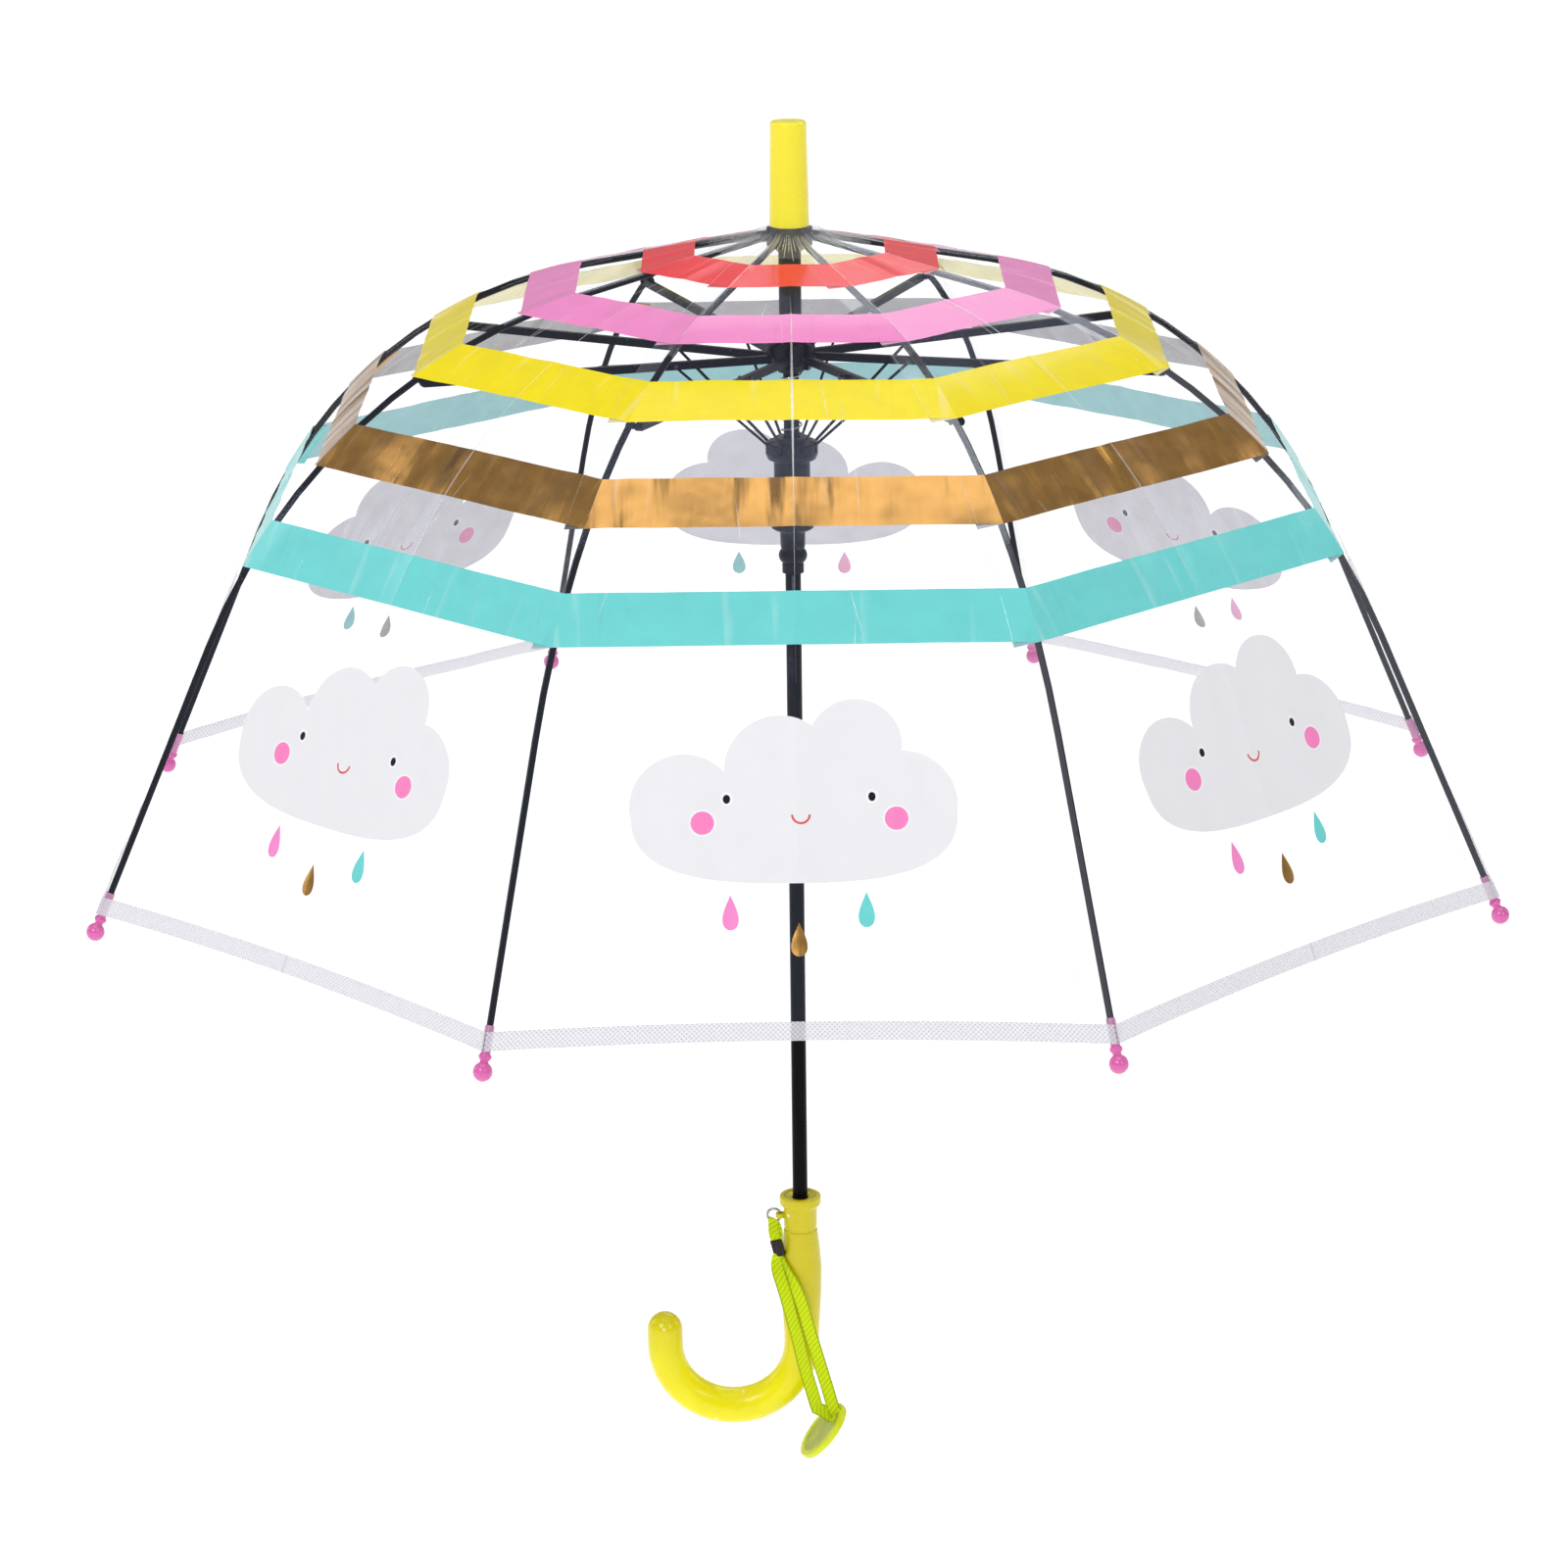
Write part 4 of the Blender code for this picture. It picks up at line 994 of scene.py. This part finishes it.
HOOK_RADIUS = 0.0350
HOOK_Z = -0.0400
HOOK_TUBE = 0.0090
HOOK_SWELL = 0.02
HOOK_TIP_Z = -0.0320
GRIP_PROFILE = (
    (0.0041, -0.0223), (0.0041, 0.0398, 0.0003), (0.0072, 0.0402, 0.0010), (0.0084, 0.0412, 0.0008),
    (0.0105, 0.0410, 0.0016), (0.0105, 0.0366, 0.0014), (0.0085, 0.0346, 0.0010), (0.0084, 0.0243, 0.0003),
    (0.0080, 0.0237, 0.0002), (0.0080, 0.0229, 0.0002), (0.0086, 0.0223, 0.0003), (0.0097, 0.0130, 0.03),
    (0.0106, 0.0020, 0.03), (0.0104, -0.0100, 0.03), (0.0097, -0.0220, 0.03), (0.0090, -0.0345, 0.03),
    (HOOK_TUBE, HOOK_Z))
LUG_PROFILE = ((0.0026, -0.0012, 0.0004), (0.0026, 0.0012, 0.0004), (0.0013, 0.0012, 0.0003),
               (0.0013, -0.0012, 0.0003))
LUG_PLACE = (-0.0100, 0.0, 0.0300)
RING_CENTRE = Vector((-0.0134, 0.0, 0.0300))
RING_RADIUS = 0.0034
RING_WIRE = 0.00065
RING_SPREAD = 0.00055
RING_TURNS = 1.12


def make_cap():
    """Yellow ferrule cap: tapered, with a soft top edge and a shallow moulding ring."""
    low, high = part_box("ferrule_cap")
    bottom, top = low.z, high.z
    wide, narrow, bore = high.x, high.x - 0.0010, 0.0041
    profile = rounded([(bore, top - 0.0090), (bore, bottom, 0.0003), (wide, bottom, 0.0006),
                       (narrow + 0.0001, top - 0.0030, 0.01), (narrow, top, 0.0013), (0.0058, top, 0.0003),
                       (0.0055, top - 0.0005, 0.0002), (0.0048, top - 0.0005, 0.0002), (0.0045, top, 0.0003),
                       (0.0006, top)], 6)
    bm = bmesh.new()
    lathe(bm, profile, 64)
    ride(mesh_piece("cap_shell", bm, ["cap_yellow"]), "frame", "yellow_plastic", "ferrule_cap")


def make_handle():
    """J handle: bell mouth, groove, swelling grip, round hook and the drilled lug for the ring."""
    up = Vector((0, 0, 1))
    places = [(up * height, -up, radius) for radius, height in rounded(GRIP_PROFILE, 5)]
    for c, s in circle(96)[1:49]:
        centre = Vector((HOOK_RADIUS * (c - 1), 0, HOOK_Z - HOOK_RADIUS * s))
        places.append((centre, Vector((-s, 0, -c)), HOOK_TUBE * (1 + HOOK_SWELL * s)))
    for c, s in circle(40)[:11]:
        centre = Vector((-2 * HOOK_RADIUS, 0, HOOK_TIP_Z + HOOK_TUBE * s))
        places.append((centre, up, max(0.0002, HOOK_TUBE * c)))
    bm = bmesh.new()
    skin(bm, [tube_ring(centre, along, Vector((0, 1, 0)), radius, 48) for centre, along, radius in places])
    start = len(bm.verts)
    lathe(bm, rounded(LUG_PROFILE, 3, closed=True), 32, closed=True)
    move_new(bm, start, Matrix.Translation(LUG_PLACE))
    ride(mesh_piece("handle_shell", bm, ["handle_yellow"]), "frame", "yellow_plastic", "handle")


def make_ring():
    """Split ring through the lug, with its two overlapping ends."""
    path = [RING_CENTRE + Vector((RING_RADIUS * c, RING_SPREAD * (2 * t - 1), RING_RADIUS * s))
            for t, c, s in coil(RING_TURNS, 54, radians(-135))]
    bm = bmesh.new()
    tube(bm, path, RING_WIRE, 12)
    ride(mesh_piece("split_ring", bm, ["steel_wire"]), "frame", "steel", "strap_ring")


# ------ wrist strap

STRAP_ROUTE = (
    (-0.0116, -0.0067, 0.0097),
    (-0.0114, -0.0071, 0.0078),
    (-0.0098, -0.0104, 0.0030),
    (-0.0072, -0.0128, -0.0030),
    (-0.0042, -0.0138, -0.0120),
    (-0.0012, -0.0138, -0.0240),
    (0.0018, -0.0134, -0.0360),
    (0.0050, -0.0135, -0.0490),
    (0.0084, -0.0148, -0.0610),
    (0.0108, -0.0172, -0.0695),
)
STRAP_WIDTH = 0.0066
STRAP_THICKNESS = 0.0011
STRAP_NARROWED = 0.68
STRAP_BOW = 0.0030
BIGHT_WIDTH = 0.0052
BIGHT_THICKNESS = 0.0008
CRIMP_CENTRE = Vector((-0.0116, -0.0067, 0.0150))
CRIMP_SIZE = (0.0030, 0.0016)
CRIMP_PROFILE = ((0.90, -0.0045), (1.0, -0.0041, 0.0003), (0.965, 0.0, 0.004), (1.0, 0.0041, 0.0003),
                 (0.90, 0.0045))
CRIMP_TOP = CRIMP_CENTRE + Vector((-0.0003, 0, 0.0033))
DISC_CENTRE = Vector((0.0105, -0.0165, -0.0825))
DISC_NORMAL = Vector((-0.741, -0.060, 0.668)).normalized()
DISC_RADIUS = 0.0165
DISC_HALF = 0.0015
DISC_RIM = 0.0032
SLOT_CENTRE = DISC_CENTRE + 0.0085 * Vector((0.650, 0.222, 0.727))
SLOT_SIZE = (0.0044, 0.0018)
VIEWER = Vector((0, -1, 0))


def ribbon(name, path, widths, thickness, twists):
    """Flat webbing along a path, its face to the viewer at the start and then turned by the twists."""
    rings = []
    flats = []
    length = 0.0
    before = path[0]
    for (point, along, face), width, twist in zip(carried_frames(path, VIEWER), widths, twists):
        length += (point - before).length
        before = point
        face = Matrix.Rotation(radians(twist), 3, along) @ face
        across = along.cross(face)
        section = rounded_box(width / 2, thickness / 2, 0.0004, 3)
        rings.append([point + across * x + face * y for x, y in section])
        flats.append([(x, length) for x, _ in section])
    bm = flat_mesh()
    skin(bm, rings, flats)
    return mesh_piece(name, bm, ["neon_ribbon"], 50), length


def strap_path(centre, side):
    """One run of the doubled ribbon beside the strap's middle line: its path, twists and widths."""
    path = []
    twists = []
    for i, point in enumerate(centre):
        t = i / (len(centre) - 1)
        spread = 0.0010 + 0.0026 * smooth_step(t / 0.5) + 0.0005 * smooth_step((t - 0.6) / 0.2)
        shift = 0.0006 * smooth_step(t / 0.4)
        sway = 0.0005 * sin(t * 7 + side)
        depth = 0.0009 * side * (1 - 0.6 * smooth_step(t / 0.6))
        path.append(point + Vector((side * spread + shift, depth + sway, 0)))
        twists.append(side * (8 if side < 0 else 52 - 40 * smooth_step(t / 0.5)))
    path[0] = centre[0] + Vector((0.0002 * side, 0.0006 * side, 0.0016))
    last_point = path[-1]
    for share in (0.45, 0.80, 1.0):
        bow = -side * DISC_NORMAL * STRAP_BOW * (1 - share ** 3)
        path.append(last_point.lerp(SLOT_CENTRE, share) + bow)
        twists.append(twists[-1] * 0.6)
    narrow = STRAP_NARROWED
    widths = [STRAP_WIDTH * (narrow + (1 - narrow) * smooth_step(i / 9)) for i in range(len(path))]
    return path, twists, widths


def make_strap():
    """Wrist strap: a doubled ribbon from the ring through its crimp to the disc."""
    centre = smooth_route(STRAP_ROUTE, 4)
    disc = make_disc()
    crimp = make_crimp()
    bight = make_bight()
    for name, side, pieces in (("strap_run_left", -1, [disc, crimp, bight]), ("strap_run_right", 1, [disc])):
        path, twists, widths = strap_path(centre, side)
        run, length = ribbon(name, path, widths, STRAP_THICKNESS, twists)
        ride(run, "strap", "neon_webbing", "wrist_strap")


def make_bight():
    """The ribbon's bight: up in front of the ring's low side, through the ring and down behind it."""
    low_wire = RING_CENTRE - Vector((0, 0, RING_RADIUS))
    route = (CRIMP_TOP + Vector((0.0002, -0.0006, 0)),
             CRIMP_TOP.lerp(low_wire, 0.40) + Vector((-0.0010, -0.0016, 0)),
             low_wire + Vector((-0.0004, -0.0016, -0.0006)),
             low_wire + Vector((0.0000, -0.0004, 0.0013)),
             low_wire + Vector((0.0004, 0.0011, -0.0004)),
             CRIMP_TOP.lerp(low_wire, 0.45) + Vector((0.0014, 0.0012, 0)),
             CRIMP_TOP + Vector((0.0004, 0.0007, 0)))
    path = smooth_route(route, 6)
    twists = [24 * sin(pi * i / (len(path) - 1)) for i in range(len(path))]
    bight, _ = ribbon("strap_bight", path, [BIGHT_WIDTH] * len(path), BIGHT_THICKNESS, twists)
    return ride(bight, "strap", "neon_webbing")


def make_crimp():
    """Folded metal crimp, waisted in the middle."""
    bm = bmesh.new()
    skin(bm, scaled_rings(rounded_box(*CRIMP_SIZE, 0.0009, 4), rounded(CRIMP_PROFILE, 4)))
    place = Matrix.Translation(CRIMP_CENTRE) @ Matrix.Rotation(radians(-14), 4, "Y") \
        @ Matrix.Rotation(radians(-12), 4, "Z")
    move_new(bm, 0, place)
    return ride(mesh_piece("crimp_shell", bm, ["black_nickel"]), "strap", "crimp_metal", "strap_crimp")


def make_disc():
    """Round disc: shallow dish, thick rounded rim and a slot with raised lips."""
    half, rim = DISC_HALF, DISC_RADIUS
    dish = half - 0.0004
    face = [(0.0003, dish), (rim - 0.0035, dish, 0.0008), (rim - 0.0028, half, 0.0006), (rim, half, 0.0009)]
    back = [(radius, -height, *fillet) for radius, height, *fillet in face]
    bm = bmesh.new()
    lathe(bm, rounded(face + back[::-1], 4)[::-1], 72)
    for made in bm.faces:
        made.material_index = int(made.calc_center_median().xy.length > rim - DISC_RIM)
    place = Matrix.Translation(DISC_CENTRE) @ DISC_NORMAL.to_track_quat("Z", "Y").to_matrix().to_4x4()
    centre = place.inverted() @ SLOT_CENTRE
    turn = Matrix.Rotation(atan2(centre.y, centre.x) + radians(90), 4, "Z")
    outline = rounded_box(*SLOT_SIZE, 0.0012, 4)
    for low, high in ((half - 0.0006, half + 0.0004), (-half - 0.0004, -half + 0.0006)):
        start = len(bm.verts)
        lip = scaled_rings(outline, ((1.0, low), (1.0, high), (0.72, high), (0.72, low)))
        skin(bm, lip, closed=True, mat=1)
        move_new(bm, start, Matrix.Translation((centre.x, centre.y, 0)) @ turn)
    move_new(bm, 0, place)
    disc = mesh_piece("disc_shell", bm, ["disc_plastic", "disc_rim"])
    return ride(disc, "strap", "pale_disc", "strap_disc")


# ------ ribs, stretchers and hub

TIP_SLEEVE_START = 0.4725
TIP_SLEEVE_END = 0.4840
TIP_NECK = ((0.0006, 0.4834), (0.0021, 0.4834, 0.0003), (0.0021, 0.4846, 0.0003), (0.0029, 0.4856, 0.0005),
            (0.0028, 0.4866, 0.0005), (0.0017, 0.4881, 0.0006))
BALL_RADIUS = 0.0043
HUB_PIN = Vector((0.0110, 0.0, 0.4740))
RUNNER_PIN = Vector((0.0112, 0.0, 0.4300))
NOTCH_PIN = Vector((PIVOT_RADIUS, 0.0, PIVOT_Z))
WIRE_RADIUS = 0.0004
RIB_PIN_RUN = 0.187
RIB_PIN_DROP = 0.0024
ARM_SIDE = 0.0034
LINK_PIN_REACH = 0.050
BRACKET_HALF = 0.0026
BRACKET_RADIUS = 0.00172
BRACKET_PLATE = ((-0.0018, 0.0010, 0.0004), (0.0018, 0.0010, 0.0004), (0.0011, -0.0035, 0.0010),
                 (-0.0011, -0.0035, 0.0010))
SPRING_TURNS = 6
SPRING_RADIUS = 0.0048
SPRING_WIRE = 0.0005
REPAINTED = {"shaft": "shaft_black", "shaft_catch": "rivet_steel", "top_notch": "black_plastic",
             "stretcher_hub": "black_plastic", "runner": "black_plastic"}
REPAINTED_EACH = {"rib": "rib_fibre", "stretcher": "arm_black", "link": "arm_black"}


def make_tips():
    """Rib tips: a clear pink sleeve, a flared collar and a glossy ball."""
    sleeve = rounded([(0.00185, TIP_SLEEVE_END), (0.00175, TIP_SLEEVE_START, 0.0001),
                      (0.0021, TIP_SLEEVE_START, 0.0002), (0.00212, TIP_SLEEVE_END)], 2, closed=True)
    ball = []
    for degrees in range(-60, 90, 6):
        a = radians(degrees)
        ball.append((BALL_RADIUS * cos(a), RIB_LENGTH + BALL_RADIUS * sin(a)))
    neck = rounded([*TIP_NECK, ball[0]], 4)
    solid = neck[:-1] + ball + [(0.0002, RIB_LENGTH + BALL_RADIUS + 0.0001)]
    turn = Matrix.Rotation(rib_point(RIB_LENGTH)[2] + radians(90), 4, "Y")
    stand = Matrix.Translation(on_rib(RIB_LENGTH)) @ turn @ Matrix.Translation((0, 0, -RIB_LENGTH))
    for number in NUMBERS:
        bm = bmesh.new()
        lathe(bm, solid, 32)
        lathe(bm, sleeve, 28, closed=True, mat=1)
        move_new(bm, 0, rib_turn(number) @ stand)
        tip = mesh_piece(f"tip_{number}", bm, ["tip_pink", "tip_sleeve"])
        ride(tip, f"rib_{number}", "pink_plastic", f"rib_tip_{number}")


def cross_pin(bm, centre, low, high, radius):
    """Riveted pin across a rib's plane, with two domed heads."""
    start = len(bm.verts)
    head = radius * 1.7
    near = [(0.00005, head * 0.45), (head * 0.8, head * 0.35, radius * 0.4), (head, 0.0), (radius, 0.0)]
    profile = [(wide, low - out, *fillet) for wide, out, *fillet in near]
    profile += [(wide, high + out, *fillet) for wide, out, *fillet in near[::-1]]
    lathe(bm, rounded(profile, 3), 16)
    move_new(bm, start, Matrix.Translation(centre) @ Matrix.Rotation(radians(-90), 4, "X"))


def make_stretchers():
    """Rivets and brackets that join arms, links and ribs."""
    rib_pin = on_rib(RIB_PIN_RUN, -RIB_PIN_DROP)
    link_pin = HUB_PIN + (rib_pin - HUB_PIN).normalized() * LINK_PIN_REACH
    clip = [on_rib(RIB_PIN_RUN + run) for run in span(-BRACKET_HALF, BRACKET_HALF, BRACKET_HALF / 2)]
    hang = Matrix.Translation(on_rib(RIB_PIN_RUN)) @ Matrix.Rotation(rib_point(RIB_PIN_RUN)[2], 4, "Y")
    plate = rounded(BRACKET_PLATE, 3, closed=True)
    for number in NUMBERS:
        bm = bmesh.new()
        cross_pin(bm, link_pin, -0.0011, ARM_SIDE + 0.0015, 0.0007)
        cross_pin(bm, HUB_PIN, ARM_SIDE - 0.0015, ARM_SIDE + 0.0015, 0.0006)
        move_new(bm, 0, rib_turn(number))
        ride(mesh_piece(f"arm_rivets_{number}", bm, ["rivet_steel"]), f"stretcher_{number}", "black_metal")
        bm = bmesh.new()
        cross_pin(bm, rib_pin, -0.0012, ARM_SIDE + 0.0016, 0.0008)
        tube(bm, clip, BRACKET_RADIUS, 20)
        start = len(bm.verts)
        skin(bm, [[(x, y, z) for x, z in plate] for y in (0.0002, 0.0012)])
        move_new(bm, start, hang)
        move_new(bm, 0, rib_turn(number))
        ride(mesh_piece(f"rib_bracket_{number}", bm, ["arm_black"]), f"rib_{number}", "black_metal")


def make_hub_details():
    """Binding wires in the notch, hub and runner, and the opening spring."""
    for name, pin, body in (("notch_wire", NOTCH_PIN, "frame"), ("hub_wire", HUB_PIN, "hub"),
                            ("runner_wire", RUNNER_PIN, "runner")):
        bm = bmesh.new()
        wire = [(pin.x + WIRE_RADIUS * c, pin.z + WIRE_RADIUS * s) for c, s in circle(8)]
        lathe(bm, wire, 64, closed=True)
        ride(mesh_piece(name, bm, ["steel_wire"]), body, "steel")
    low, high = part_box("opening_spring")
    start = low.z + SPRING_WIRE
    length = high.z - SPRING_WIRE - start
    path = [Vector((SPRING_RADIUS * c, SPRING_RADIUS * s, start + length * t))
            for t, c, s in coil(SPRING_TURNS, SPRING_TURNS * 28)]
    bm = bmesh.new()
    tube(bm, path, SPRING_WIRE, 8, first_side=(0, 0, 1))
    spring = mesh_piece("spring_coil", bm, ["steel_wire"])
    ride(spring, "runner", "spring_steel", "opening_spring")
    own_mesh(spring)


def repaint_frame():
    """Finished materials for the CAD nodes that stay."""
    paints = dict(REPAINTED)
    for number in NUMBERS:
        paints.update({f"{name}_{number}": mat for name, mat in REPAINTED_EACH.items()})
    for name, mat in paints.items():
        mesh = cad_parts[name].data
        mesh.materials.clear()
        mesh.materials.append(MATS[mat])


# ------ stage

def aimed(place, target):
    """Matrix of a camera or light at a place that looks at a target."""
    look = (target - place).to_track_quat("-Z", "Y").to_matrix().to_4x4()
    return Matrix.Translation(place) @ look


def add_to_scene(name, data, matrix):
    """New object of a camera or light."""
    obj = bpy.data.objects.new(name, data)
    bpy.context.scene.collection.objects.link(obj)
    obj.matrix_world = matrix
    return obj


def make_camera():
    """Camera at the photograph's angle, a little above the dome's edge."""
    data = bpy.data.cameras.new("camera")
    data.lens = CAMERA_LENS
    data.sensor_width = 36
    data.clip_start = 0.1
    data.clip_end = 60
    back = Vector((0, -cos(CAMERA_RISE), sin(CAMERA_RISE)))
    matrix = aimed(CAMERA_TARGET + back * CAMERA_DISTANCE, CAMERA_TARGET)
    bpy.context.scene.camera = add_to_scene("camera", data, matrix @ Matrix.Rotation(CAMERA_ROLL, 4, "Z"))


def make_stage():
    """Pale floor, white surroundings and soft boxes."""
    bm = bmesh.new()
    place = Matrix.Translation((0, 0, FLOOR_Z))
    bmesh.ops.create_grid(bm, x_segments=1, y_segments=1, size=FLOOR_SIZE, matrix=place)
    Surface("floor_white", Base_Color=(0.34, 0.34, 0.34, 1.0), Roughness=0.9, Emission_Color=WHITE,
            Emission_Strength=FLOOR_GLOW)
    mesh_piece("floor", bm, ["floor_white"], None)
    world = bpy.data.worlds.new("studio")
    bpy.context.scene.world = world
    world.use_nodes = True
    tree = world.node_tree
    seen = node(tree, "LightPath").outputs["Is Camera Ray"]
    light = node(tree, "MapRange", {"Value": seen, "To Min": WORLD_LIGHT, "To Max": 1.0}).outputs["Result"]
    background = tree.nodes["Background"]
    tree.links.new(light, background.inputs["Strength"])
    background.inputs["Color"].default_value = WHITE
    for name, place, size, power in SOFT_BOXES:
        data = bpy.data.lights.new(name, "AREA")
        data.shape = "RECTANGLE"
        data.size, data.size_y = size
        data.energy = power
        add_to_scene(name, data, aimed(Vector(place), LIGHT_TARGET))
    bpy.context.scene.view_settings.view_transform = "Standard"


def build():
    make_camera()
    make_materials()
    make_strap()
    make_canopy()
    make_cap()
    make_handle()
    make_ring()
    make_tips()
    make_stretchers()
    make_hub_details()
    repaint_frame()
    make_stage()


build()
